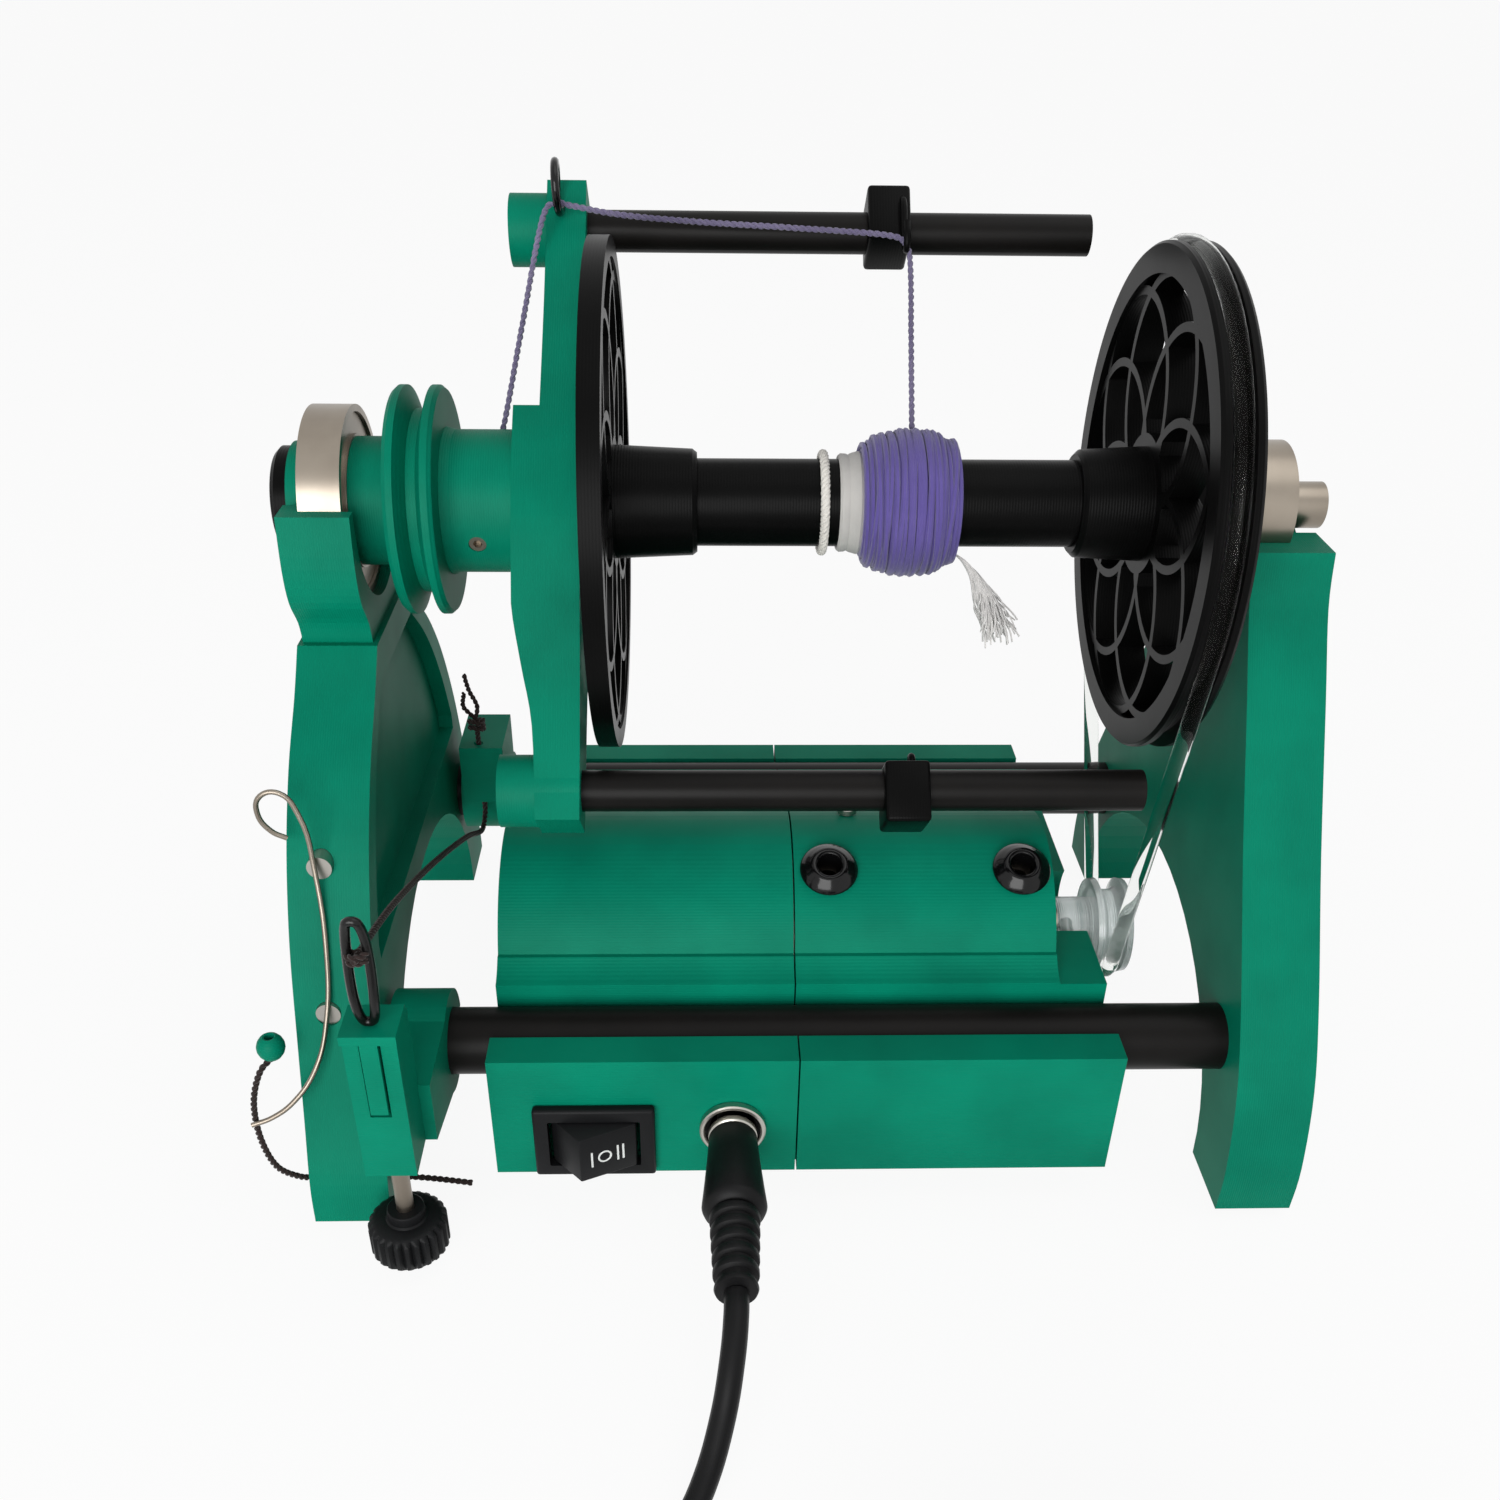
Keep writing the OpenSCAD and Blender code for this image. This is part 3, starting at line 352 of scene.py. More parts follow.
class Bench:
    """The hand tools. Each piece ends with its place in its mesh and its own origin at zero."""

    @staticmethod
    def clear() -> None:
        """Goes to object mode with nothing selected."""
        if bpy.context.object and bpy.context.object.mode != "OBJECT":
            bpy.ops.object.mode_set(mode="OBJECT")
        bpy.ops.object.select_all(action="DESELECT")

    @staticmethod
    def pick(obj: Piece) -> None:
        """Makes one piece the only selected one."""
        Bench.clear()
        obj.select_set(True)
        bpy.context.view_layer.objects.active = obj

    @staticmethod
    def edit() -> None:
        """Goes to edit mode with everything selected."""
        bpy.ops.object.mode_set(mode="EDIT")
        bpy.ops.mesh.select_all(action="SELECT")

    @staticmethod
    def tidy(obj: Piece, merge: float = 1e-6, fill: bool = True) -> None:
        """Merges doubles, closes open ends and turns the faces outwards.

        Args:
            obj: The piece.
            merge: Merge distance in metres.
            fill: Whether open ends are closed.
        """
        Bench.pick(obj)
        Bench.edit()
        bpy.ops.mesh.remove_doubles(threshold=merge)
        if fill:
            bpy.ops.mesh.fill_holes(sides=0)
            bpy.ops.mesh.select_all(action="SELECT")
        bpy.ops.mesh.normals_make_consistent(inside=False)
        bpy.ops.object.mode_set(mode="OBJECT")

    @staticmethod
    def turned(name: str, profile: Profile, sides: int = 48) -> Piece:
        """Turns a piece round Z from a circle that is extruded and scaled station by station.

        Args:
            name: The piece's name.
            profile: Height and radius of each station, in millimetres.
            sides: Number of sides.

        Returns:
            The turned piece, closed at both ends.
        """
        Bench.clear()
        low, radius = profile[0]
        bpy.ops.mesh.primitive_circle_add(vertices=sides, radius=radius * MM, location=(0, 0, low * MM))
        obj = bpy.context.object
        obj.name = name
        Bench.edit()
        for (h0, r0), (h1, r1) in zip(profile, profile[1:]):
            bpy.ops.mesh.extrude_region_move(TRANSFORM_OT_translate={"value": (0, 0, (h1 - h0) * MM)})
            bpy.ops.transform.resize(value=(r1 / r0, r1 / r0, 1), center_override=(0, 0, h1 * MM))
        bpy.ops.object.mode_set(mode="OBJECT")
        bpy.ops.object.transform_apply(location=True, rotation=True, scale=True)
        Bench.tidy(obj)
        return obj

    @staticmethod
    def ring(
        name: str, inner: float, outer: float, width: float, edge: float = 0.3, sides: int = 48
    ) -> Piece:
        """Turns a flat ring with small rounded corners, from height 0 up.

        Args:
            name: The piece's name.
            inner: Hole radius.
            outer: Outside radius.
            width: Height of the ring.
            edge: Corner size.
            sides: Number of sides.

        Returns:
            The ring.
        """
        corners = [
            (0.0, inner + edge), (0.0, outer - edge), (edge, outer), (width - edge, outer),
            (width, outer - edge), (width, inner + edge), (width - edge, inner), (edge, inner), (0.0, inner + edge),
        ]
        return Bench.turned(name, corners, sides)

    @staticmethod
    def slab(name: str, outline: Profile, thick: float) -> Piece:
        """Makes a plate from a many-cornered face that is drawn to shape and extruded up.

        Args:
            name: The piece's name.
            outline: Corners of the plate in X and Y.
            thick: Thickness along Z.

        Returns:
            The plate, lying on Z = 0.
        """
        Bench.clear()
        bpy.ops.mesh.primitive_circle_add(vertices=len(outline), radius=1, fill_type="NGON")
        obj = bpy.context.object
        obj.name = name
        for vertex, corner in zip(obj.data.vertices, outline):
            vertex.co = Vector((corner[0], corner[1], 0)) * MM
        Bench.edit()
        bpy.ops.mesh.extrude_region_move(TRANSFORM_OT_translate={"value": (0, 0, thick * MM)})
        bpy.ops.object.mode_set(mode="OBJECT")
        Bench.tidy(obj)
        return obj

    @staticmethod
    def block(name: str, low: Point, high: Point, edge: float = 0.5, rounds: int = 3) -> Piece:
        """Makes a block between two machine corners, with rounded edges.

        Args:
            name: The piece's name.
            low: Lowest corner.
            high: Highest corner.
            edge: Edge radius.
            rounds: Bevel segments.

        Returns:
            The block, in place.
        """
        Bench.clear()
        a, b = spot(low), spot(high)
        bpy.ops.mesh.primitive_cube_add(size=1, location=(a + b) / 2)
        obj = bpy.context.object
        obj.name = name
        obj.scale = b - a
        bpy.ops.object.transform_apply(location=True, rotation=True, scale=True)
        return Bench.soften(obj, edge, rounds)

    @staticmethod
    def soften(obj: Piece, edge: float, rounds: int = 3, limit: float = 35.0) -> Piece:
        """Rounds the sharp edges with an applied bevel.

        Args:
            obj: The piece.
            edge: Bevel width in millimetres.
            rounds: Bevel segments.
            limit: Edges sharper than this, in degrees, are rounded.

        Returns:
            The same piece.
        """
        Bench.pick(obj)
        bevel = obj.modifiers.new("edge", "BEVEL")
        bevel.width = edge * MM
        bevel.segments = rounds
        bevel.limit_method = "ANGLE"
        bevel.angle_limit = radians(limit)
        bpy.ops.object.modifier_apply(modifier=bevel.name)
        return obj

    @staticmethod
    def cut(obj: Piece, tool: Piece) -> Piece:
        """Takes one piece out of another.

        Args:
            obj: The piece that is cut.
            tool: The cutter, which is then removed.

        Returns:
            The cut piece.
        """
        Bench.pick(obj)
        knife = obj.modifiers.new("cut", "BOOLEAN")
        knife.operation = "DIFFERENCE"
        knife.solver = "EXACT"
        knife.object = tool
        bpy.ops.object.modifier_apply(modifier=knife.name)
        bpy.data.objects.remove(tool)
        return obj

    @staticmethod
    def stand(obj: Piece, at: Point, axis: Axis = Axis.UP, turn: Matrix | None = None) -> Piece:
        """Moves a piece from the bench to its place and fixes it there.

        Args:
            obj: The piece, made round the origin.
            at: Machine point that its origin goes to.
            axis: Direction that its Z goes to.
            turn: Extra rotation that comes after the axis.

        Returns:
            The piece, with its place in its mesh.
        """
        Bench.pick(obj)
        angle, about = axis.value
        around = Matrix.Identity(4) if turn is None else turn
        obj.matrix_world = Matrix.Translation(spot(at)) @ around @ Matrix.Rotation(angle, 4, about)
        bpy.ops.object.transform_apply(location=True, rotation=True, scale=True)
        return obj

    @staticmethod
    def join(name: str, parts: Sequence[Piece]) -> Piece:
        """Joins parts of one piece.

        Args:
            name: The joined piece's name.
            parts: The meshes to join.

        Returns:
            The joined piece.
        """
        Bench.clear()
        for part in parts:
            part.select_set(True)
        bpy.context.view_layer.objects.active = parts[0]
        bpy.ops.object.join()
        parts[0].name = name
        return parts[0]

    @staticmethod
    def smooth(obj: Piece, angle: float = 40.0) -> None:
        """Shades a piece smooth apart from its sharp edges."""
        Bench.pick(obj)
        bpy.ops.object.shade_smooth_by_angle(angle=radians(angle))


class Line:
    """Smooth lines through points, and the tubes and twisted strands that follow them."""

    @staticmethod
    def curve(
        name: str, runs: Sequence[Sequence[Vector]], radius: float, closed: bool = False, sides: int = 3,
        smooth: bool = True,
    ) -> Piece:
        """Makes a curve object that goes through each run of points.

        Args:
            name: The object's name.
            runs: One list of points for each line, in metres.
            radius: Tube radius in millimetres.
            closed: Whether each line is a loop.
            sides: Bevel resolution.
            smooth: Whether the lines bend smoothly between their points.

        Returns:
            The curve object.
        """
        data = bpy.data.curves.new(name, "CURVE")
        data.dimensions = "3D"
        data.resolution_u = 6
        data.bevel_depth = radius * MM
        data.bevel_resolution = sides
        data.use_fill_caps = True
        for run in runs:
            line = data.splines.new("BEZIER" if smooth else "POLY")
            nodes = line.bezier_points if smooth else line.points
            nodes.add(len(run) - 1)
            for node, point in zip(nodes, run):
                node.co = point if smooth else (*point, 1)
                if smooth:
                    node.handle_left_type = node.handle_right_type = "AUTO"
            line.use_cyclic_u = closed
            line.use_smooth = True
        obj = bpy.data.objects.new(name, data)
        bpy.context.scene.collection.objects.link(obj)
        return obj

    @staticmethod
    def tube(name: str, run: Sequence[Vector], radius: float, closed: bool = False) -> Piece:
        """Makes one tube through the points, as a mesh."""
        return Line.mesh(Line.curve(name, [run], radius, closed))

    @staticmethod
    def mesh(obj: Piece) -> Piece:
        """Turns a curve object into a mesh with merged doubles."""
        Bench.pick(obj)
        bpy.ops.object.convert(target="MESH")
        made = bpy.context.object
        Bench.tidy(made, 2e-7, False)
        return made

    @staticmethod
    def dense(run: Sequence[Vector], step: float, closed: bool = False) -> list[Vector]:
        """Resamples a line evenly along a smooth path through its points.

        Args:
            run: The points.
            step: Spacing in millimetres.
            closed: Whether the line is a loop.

        Returns:
            The evenly spaced points.
        """
        count = len(run)
        spans = count if closed else count - 1
        fine: list[Vector] = []
        for i in range(spans):
            ids = [i - 1, i, i + 1, i + 2]
            p = [run[k % count] if closed else run[max(0, min(count - 1, k))] for k in ids]
            for s in range(CURVE_STEPS):
                t = s / CURVE_STEPS
                fine.append(
                    0.5 * (2 * p[1] + (p[2] - p[0]) * t + (2 * p[0] - 5 * p[1] + 4 * p[2] - p[3]) * t * t
                           + (3 * p[1] - p[0] - 3 * p[2] + p[3]) * t**3)
                )
        fine.append(fine[0] if closed else run[-1])
        out, walked, target = [fine[0]], 0.0, step * MM
        for a, b in zip(fine, fine[1:]):
            gap = (b - a).length
            while gap > 0 and walked + gap >= target:
                out.append(a.lerp(b, (target - walked) / gap))
                target += step * MM
            walked += gap
        if not closed and (out[-1] - fine[-1]).length > step * MM * END_SHARE:
            out.append(fine[-1])
        return out

    @staticmethod
    def twisted(
        name: str, run: Sequence[Vector], radius: float, plies: int = 2, pitch: float = 2.2, closed: bool = False
    ) -> Piece:
        """Lays plies round a line, as a twisted thread.

        Args:
            name: The piece's name.
            run: The line's points.
            radius: Radius of the whole thread in millimetres.
            plies: Number of plies.
            pitch: Length of one twist in millimetres.
            closed: Whether the line is a loop.

        Returns:
            The thread as one mesh.
        """
        line = Line.dense(run, pitch / TWIST_STEPS, closed)
        one = radius / (1 + 1 / sin(pi / plies)) * PLY_SQUEEZE
        lay = radius - one
        side = Vector((0, 0, 1))
        if abs((line[1] - line[0]).normalized().dot(side)) > NEAR_UPRIGHT:
            side = Vector((0, 1, 0))
        runs: list[list[Vector]] = [[] for _ in range(plies)]
        for i, point in enumerate(line):
            ahead = line[(i + 1) % len(line)] if closed else line[min(i + 1, len(line) - 1)]
            behind = line[i - 1] if closed or i else line[0]
            along = (ahead - behind).normalized()
            side = (side - along * side.dot(along)).normalized()
            other = along.cross(side)
            for k in range(plies):
                a = 2 * pi * (i / TWIST_STEPS + k / plies)
                runs[k].append(point + (side * cos(a) + other * sin(a)) * lay * MM)
        return Line.mesh(Line.curve(name, runs, one, closed, 1, False))


@dataclass
class Assembly:
    """A group of dressed pieces. It knows the palette and which body each piece rides on."""

    palette: Palette

    def keep(self, obj: Piece, look: Look, node: str, stands: Sequence[str] | None = None) -> Piece:
        """Dresses a piece, lets it ride with a node's body and stand for that node or the ones given.

        Args:
            obj: The piece.
            look: Its finish.
            node: CAD node whose body carries it, and which it replaces when stands is not given.
            stands: CAD nodes that it replaces, if not just that node.

        Returns:
            The piece.
        """
        Bench.clear()
        self.palette.dress(obj, look)
        if obj.type == "MESH":
            Bench.smooth(obj)
        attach(obj, frame["nodes"][node]["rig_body"])
        stands = [node] if stands is None else stands
        if stands:
            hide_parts(*stands)
        return obj


@dataclass
class PowerLead(Assembly):
    """Low-voltage lead, its ribbed plug, and the wall adapter at its far end."""

    thick: float = 4.0
    socket: Triple = (4.4, -58.0, 19.0)
    coil_at: Pair = (-30.0, -198.0)
    coil_low: float = 2.1
    coil_layer: float = 4.1
    coil_climb: Pair = (4.0, 0.3)
    adapter: Triple = (16.0, -181.7, 0.1)
    adapter_size: Triple = (54.0, 34.0, 25.0)
    lead: Route = (
        (4.4, -95.2, 19), (4.3, -99, 18.6), (3.6, -105, 15.4), (1.8, -112, 9), (-1, -119, 4.2), (-5, -127, 2.3),
        (-8, -136, 2.1), (-7, -148, 2.1), (-2, -162, 2.1), (2, -176, 2.1), (3.4, -190, 2.1),
    )
    tail: Route = (
        (-20, -164.7, 6.4), (-8, -164.7, 6.8), (2, -164.7, 7.8), (9, -164.7, 10.6), (15.4, -164.7, 12.4),
    )
    barrel: Profile = (
        (-5.6, 1.1), (-5.6, 2.5), (-5.3, 2.75), (1.7, 2.75), (1.7, 4.1), (1.9, 4.3), (2.8, 4.3), (3.0, 4.1),
        (3.4, 3.4), (3.4, 1.1), (-5.6, 1.1),
    )
    well: Profile = (
        (-7, 4.05), (-7, 5.4), (-0.05, 5.4), (0.0, 5.0), (0.6, 5.0), (0.6, 4.7), (0.1, 4.05), (-7, 4.05),
    )

    def route(self) -> list[Vector]:
        """Lists the lead's points from the plug through the coil to the adapter.

        Returns:
            The points in metres.
        """
        loops: list[Point] = []
        stations = [(0, 33.4), (0.25, 29), (1, 29), (1.25, 25), (2, 25), (2.25, 21), (3, 21), (3.25, 17), (5, 17),
                    (5.25, 21), (6, 21), (6.25, 25), (7, 25), (7.25, 29), (7.5, 29.6), (7.75, 33.3)]
        steps = 16
        begin, climb = self.coil_climb
        for i in range(int(stations[-1][0] * steps) + 1):
            t = i / steps
            k = max(j for j in range(len(stations) - 1) if stations[j][0] <= t)
            (t0, r0), (t1, r1) = stations[k], stations[k + 1]
            share = min(1.0, (t - t0) / (t1 - t0))
            r = r0 + (r1 - r0) * share * share * (3 - 2 * share)
            z = self.coil_low + self.coil_layer * min(1.0, max(0.0, (t - begin) / climb))
            a = -2 * pi * t
            loops.append((self.coil_at[0] + r * cos(a), self.coil_at[1] + r * sin(a), z))
        return [spot(p) for p in [*self.lead, *loops, *self.tail]]

    def grip(self) -> list[Pair]:
        """Lists the plug's stations: a smooth grip with a shoulder, and a ribbed sleeve."""
        rows = [(3.0, 2.2), (3.0, 4.0), (3.4, 4.25), (9.0, 4.6), (15.0, 5.1), (19.4, 5.5), (20.2, 5.2), (21.0, 4.1)]
        for i in range(5):
            h = 21.2 + 2.8 * i
            out, deep = 4.25 - 0.12 * i, 3.45 - 0.12 * i
            rows += [
                (h, deep), (h + 0.35, out - 0.1), (h + 0.6, out), (h + 1.5, out), (h + 1.75, out - 0.1),
                (h + 2.1, deep),
            ]
        return [*rows, (35.6, 2.9), (36.0, 3.5), (36.5, 3.6), (37.0, 3.4), (37.2, 2.05)]

    def fitting(self, piece: Piece, look: Look, node: str, stands: Sequence[str] | None = None) -> Piece:
        """Keeps a turned piece on the socket's line.

        Args:
            piece: The piece, as turned.
            look: Its finish.
            node: CAD node that carries it.
            stands: CAD nodes that it replaces, if not just that node.

        Returns:
            The piece.
        """
        return self.keep(Bench.stand(piece, self.socket, Axis.FRONT), look, node, stands)

    def brick(self) -> Piece:
        """Builds the adapter's rounded case with its seam and its cord sleeve."""
        x, y, z = self.adapter
        w, d, h = self.adapter_size
        case = Bench.block("adapter_case", (x, y, z), (x + w, y + d, z + h), 2.6, 4)
        seam = Bench.block("seam", (x - 1, y - 1, z + h * 0.52), (x + w - 4, y + d + 1, z + h * 0.52 + 0.5), 0.05, 1)
        core = Bench.block("core", (x + 0.5, y + 0.5, z + 1), (x + w - 2, y + d - 0.5, z + h - 1), 2.2, 3)
        groove = Bench.cut(seam, core)
        case = Bench.cut(case, groove)
        sleeve = Bench.turned("sleeve", [(-0.4, 3.6), (0.6, 3.6), (2.0, 3.2), (3.4, 2.9), (3.6, 2.3)], 24)
        Bench.stand(sleeve, (x + 0.3, y + 17, 12.4), Axis.RIGHT, Matrix.Rotation(pi, 4, "Z"))
        return Bench.join("adapter_case", [case, sleeve])

    def prongs(self) -> Piece:
        """Builds the two flat prongs with their holes."""
        x, y, _ = self.adapter
        w, d, _ = self.adapter_size
        blades = []
        for side in (-6.35, 6.35):
            middle = y + d / 2 + side
            blade = Bench.block("prong", (x + w - 2, middle - 0.75, 10), (x + w + 15, middle + 0.75, 16.3), 0.5, 2)
            hole = Bench.turned("hole", [(-3, 1.5), (3, 1.5)], 20)
            Bench.stand(hole, (x + w + 11.5, middle, 13.15), Axis.FRONT)
            blades.append(Bench.cut(blade, hole))
        return Bench.join("adapter_prongs", blades)

    def build(self) -> None:
        """Builds the lead and both its ends."""
        plug = self.fitting(Bench.turned("plug_grip", self.grip()), Look.CORD, "dc_plug")
        barrel = self.fitting(Bench.turned("plug_barrel", self.barrel), Look.ZINC, "dc_socket", ())
        self.fitting(Bench.ring("socket_rim", 4.95, 5.85, 1.6, 0.25), Look.ZINC, "dc_socket")
        self.fitting(Bench.turned("socket_well", self.well), Look.BLACK_PLASTIC, "dc_socket", ())
        case = self.keep(self.brick(), Look.BLACK_PLASTIC, "power_adapter")
        prongs = self.keep(self.prongs(), Look.ZINC, "power_adapter", ())
        points = self.route()
        cord = Line.curve("power_lead", [points], self.thick / 2)
        self.keep(cord, Look.CORD, "power_cord", ["power_cord", "cord_coil"])
        line = Line.dense(points, 1.0)


@dataclass
class Switch(Assembly):
    """Three-way rocker switch in the front panel."""

    centre: Triple = (-20.0, -58.0, 16.7)
    size: Pair = (21.4, 15.4)
    window: Pair = (16.2, 10.4)

    def bezel(self) -> Piece:
        """Builds the frame: a rounded plate whose face falls in to the window."""
        x, y, z = self.centre
        w, h = self.size
        frame_piece = Bench.block("switch_frame", (x - w / 2, y - 2, z - h / 2), (x + w / 2, y, z + h / 2), 0.6, 3)
        box = Bench.block("box", (x - 9.4, y - 0.4, z - 5.9), (x + 9.4, y + 7.8, z + 5.9), 0.2, 1)
        window = Bench.block("window", (x - self.window[0] / 2, y - 4, z - self.window[1] / 2),
                             (x + self.window[0] / 2, y + 6, z + self.window[1] / 2), 0.3, 2)
        body = Bench.join("switch_frame", [frame_piece, box])
        return Bench.cut(body, window)

    def rocker(self) -> Piece:
        """Builds the rocker: a ridged front that leans to the left, over a round back."""
        x, y, z = self.centre
        outline = [
            (-2.2, -6.4), (7.3, -2.3), (7.5, -1.6), (7.2, 0.6), (4.4, 3.0), (-4.4, 3.0), (-7.4, 0.6), (-7.6, -0.2),
            (-7.3, -0.9),
        ]
        body = Bench.slab("switch_rocker_cap", outline, 9.8)
        Bench.soften(body, 0.25, 2, 20)
        return Bench.stand(body, (x, y, z - 4.9))

    def marks(self) -> Piece:
        """Builds the raised marks for one, off and two on the right-hand face."""
        x, y, z = self.centre
        lean = atan2(4.1, 9.5)
        bar = [(-0.17, -1.7), (0.17, -1.7), (0.17, 1.7), (-0.17, 1.7)]
        marks = [(Bench.slab("bar", bar, 0.22), along) for along in (2.1, 6.9, 7.9)]
        marks.append((Bench.ring("zero", 0.95, 1.3, 0.22, 0.06, 32), 4.5))
        turn = Matrix.Rotation(lean, 4, "Z")
        for mark, along in marks:
            at = (x - 2.2 + along * cos(lean), y - 6.4 + along * sin(lean) + 0.12, z - 0.3)
            Bench.stand(mark, at, Axis.FRONT, turn)
        return Bench.join("switch_marks", [mark for mark, _ in marks])

    def build(self) -> None:
        """Builds the switch's pieces."""
        self.keep(self.bezel(), Look.BLACK_PLASTIC, "switch_bezel")
        self.keep(self.rocker(), Look.BLACK_PLASTIC, "switch_rocker")
        self.keep(self.marks(), Look.MARK, "switch_rocker", ())


@dataclass
class Grommets(Assembly):
    """The two glossy rubber sockets on the motor cover."""

    stations: Pair = (22.4, 58.0)
    y: float = -25.0
    hump: float = 23.0

    def build(self) -> None:
        """Turns both sockets and seats them square to the round cover."""
        lean = asin((self.y - MOTOR_AT[0]) / self.hump)
        top = MOTOR_AT[1] + sqrt(self.hump**2 - (self.y - MOTOR_AT[0]) ** 2)
        both = []
        for x in self.stations:
            profile = [
                (-3.6, 2.2), (-3.6, 2.95), (0.1, 2.95), (0.2, 4.7), (0.35, 5.2), (0.8, 5.35), (1.3, 5.1), (1.9, 4.3),
                (2.5, 3.7), (2.9, 3.2), (2.95, 2.7), (2.7, 2.3), (2.0, 2.15), (-3.6, 2.2),
            ]
            one = Bench.turned("grommet", profile, 40)
            both.append(Bench.stand(one, (x, self.y, top), Axis.UP, Matrix.Rotation(-lean, 4, "X")))
        self.keep(Bench.join("cover_grommets", both), Look.BLACK_GLOSS, "top_grommets")


@dataclass
class YarnOnBobbin(Assembly):
    """Yarn package, leader ring, leader wrap and the leader's frayed tail."""

    start: float = 26.5
    stop: float = 44.0
    core: float = 7.4
    edge_r: float = 8.5
    swell: float = 3.2
    band: Profile = (
        (22.9, 7.45), (22.9, 8.0), (23.3, 8.35), (24.2, 8.3), (24.6, 8.1), (25.0, 8.35), (26.4, 8.75), (26.9, 8.4),
        (26.9, 7.45), (22.9, 7.45),
    )

    def bulge(self, t: float) -> float:
        """Gives the package's radius at a share of its width."""
        return self.edge_r + self.swell * sin(pi * (0.08 + 0.84 * max(0.0, min(1.0, t)))) ** 0.6

    @staticmethod
    def on_spindle(name: str, rows: Profile) -> Piece:
        """Turns a piece round the spindle line."""
        return Bench.stand(Bench.turned(name, rows, 56), (0, 0, AXIS_H), Axis.RIGHT)

    def heart(self) -> Piece:
        """Turns the body under the windings."""
        wide = self.stop - self.start - 0.8
        rows = [(self.start + 0.2, self.core + 0.05)]
        rows += [(self.start + 0.4 + wide * i / 14, self.bulge(i / 14) - 0.75) for i in range(15)]
        rows += [(self.stop - 0.2, self.core + 0.05), (self.start + 0.2, self.core + 0.05)]
        return self.on_spindle("yarn_heart", rows)

    def winding(self, seed: int, turns: float, first: float, last: float, lift: float, wander: float) -> list[Vector]:
        """Lists the points of one layer of windings.

        Args:
            seed: Seed of the small wander.
            turns: Number of turns.
            first: Share of the width where it starts.
            last: Share of the width where it stops.
            lift: Height over the heart's surface, in millimetres.
            wander: Side-to-side wander in millimetres.

        Returns:
            The points in metres.
        """
        chance = random.Random(seed)
        waves = [(chance.uniform(0.4, 1.7), chance.uniform(0, 6.28)) for _ in range(4)]
        steps = 26
        points = []
        for i in range(int(turns * steps) + 1):
            turn = i / steps
            a = 2 * pi * turn
            t = first + (last - first) * i / (turns * steps)
            drift = sum(sin(a * f + p) for f, p in waves) / 4 * wander
            x = self.start + 0.5 + (self.stop - self.start - 1.0) * t + drift
            r = self.bulge((x - self.start) / (self.stop - self.start)) - 0.35 + lift
            points.append(spot((x, r * cos(a), AXIS_H + r * sin(a))))
        return points

    def windings(self) -> Piece:
        """Lays the layers of yarn."""
        runs = [
            self.winding(3, 19, 0.0, 1.0, 0.0, 0.25),
            self.winding(5, 7, 0.96, 0.04, 0.42, 0.9),
            self.winding(8, 9, 0.1, 0.85, 0.62, 0.6),
            self.winding(11, 5, 0.8, 0.3, 0.85, 0.8),
        ]
        return Line.mesh(Line.curve("yarn_windings", runs, 0.47, sides=1))

    def tail(self) -> Piece:
        """Lays the loose fibres of the frayed leader end that hangs beside the package."""
        chance = random.Random(21)
        runs = []
        for _ in range(54):
            spread, sag = chance.uniform(-1, 1), chance.uniform(0.7, 1.05)
            swing, curl = chance.uniform(0, 6.28), chance.uniform(5, 11)
            run = []
            for k in range(13):
                t = k / 12
                x = 44.2 + 8.6 * t**0.8 + spread * 3.2 * t**1.4 + 0.8 * t * sin(curl * t + swing)
                y = -3.4 - 2.8 * t + 1.6 * t * cos(curl * t + swing) + chance.uniform(-0.1, 0.1)
                z = AXIS_H - 8.2 - 15 * sag * t**1.1 + 0.4 * t * sin(curl * t)
                run.append(spot((x, y, z)))
            runs.append(run)
        return Line.mesh(Line.curve("leader_tail", runs, 0.17, sides=0))

    def build(self) -> None:
        """Builds everything wound on the bobbin."""
        self.keep(self.heart(), Look.YARN, "yarn_package", ())
        self.keep(self.windings(), Look.YARN, "yarn_package")
        turns = [tau * i / 28 for i in range(28)]
        loop = spots((20.3, 8.2 * cos(a), AXIS_H + 8.2 * sin(a)) for a in turns)
        self.keep(Line.twisted("leader_ring", loop, 0.85, 3, 2.6, True), Look.LEADER, "leader_band")
        self.keep(self.on_spindle("leader_wrap", self.band), Look.GAUZE, "leader_band", ())
        self.keep(self.tail(), Look.FRAYED, "leader_band", ())


@dataclass
class FlyerThread(Assembly):
    """The strand that runs over the flyer, and the wire eye that it passes through."""

    strand: Route = (
        (36, -3, 12.35), (36, -5, 28), (36, -6.5, 41), (35.2, -6.7, 45), (32, -6.7, 46.8), (16, -6.7, 48),
        (0, -6.9, 48.8), (-14, -7.8, 49.4), (-23, -9.4, 50), (-25.6, -10.2, 49.9), (-28, -10, 47), (-31.6, -6, 30),
        (-35.2, -1.4, 13.2), (-37, -0.4, 8.6),
    )
    eye: Triple = (-25.5, -10.9, 52.5)
    eye_r: float = 4.0

    def build(self) -> None:
        """Builds the strand and the eye."""
        run = [flyer_spot(p) for p in self.strand]
        self.keep(Line.twisted("yarn_strand_plied", run, 0.55, 2, 2.4), Look.STRAND, "yarn_strand")
        x, y, z = self.eye
        loop: list[Point] = [(x, -4.2, z), (x, -5.2, z)]
        for i in range(21):
            a = radians(15 + 330 * i / 20)
            loop.append((x + 0.9 * i / 20 - 0.45, y + self.eye_r * cos(a), z + self.eye_r * sin(a)))
        wire = Line.tube("threading_eye", [flyer_spot(p) for p in loop], 0.7)
        self.keep(wire, Look.BLACK_GLOSS, "threading_eyelet")


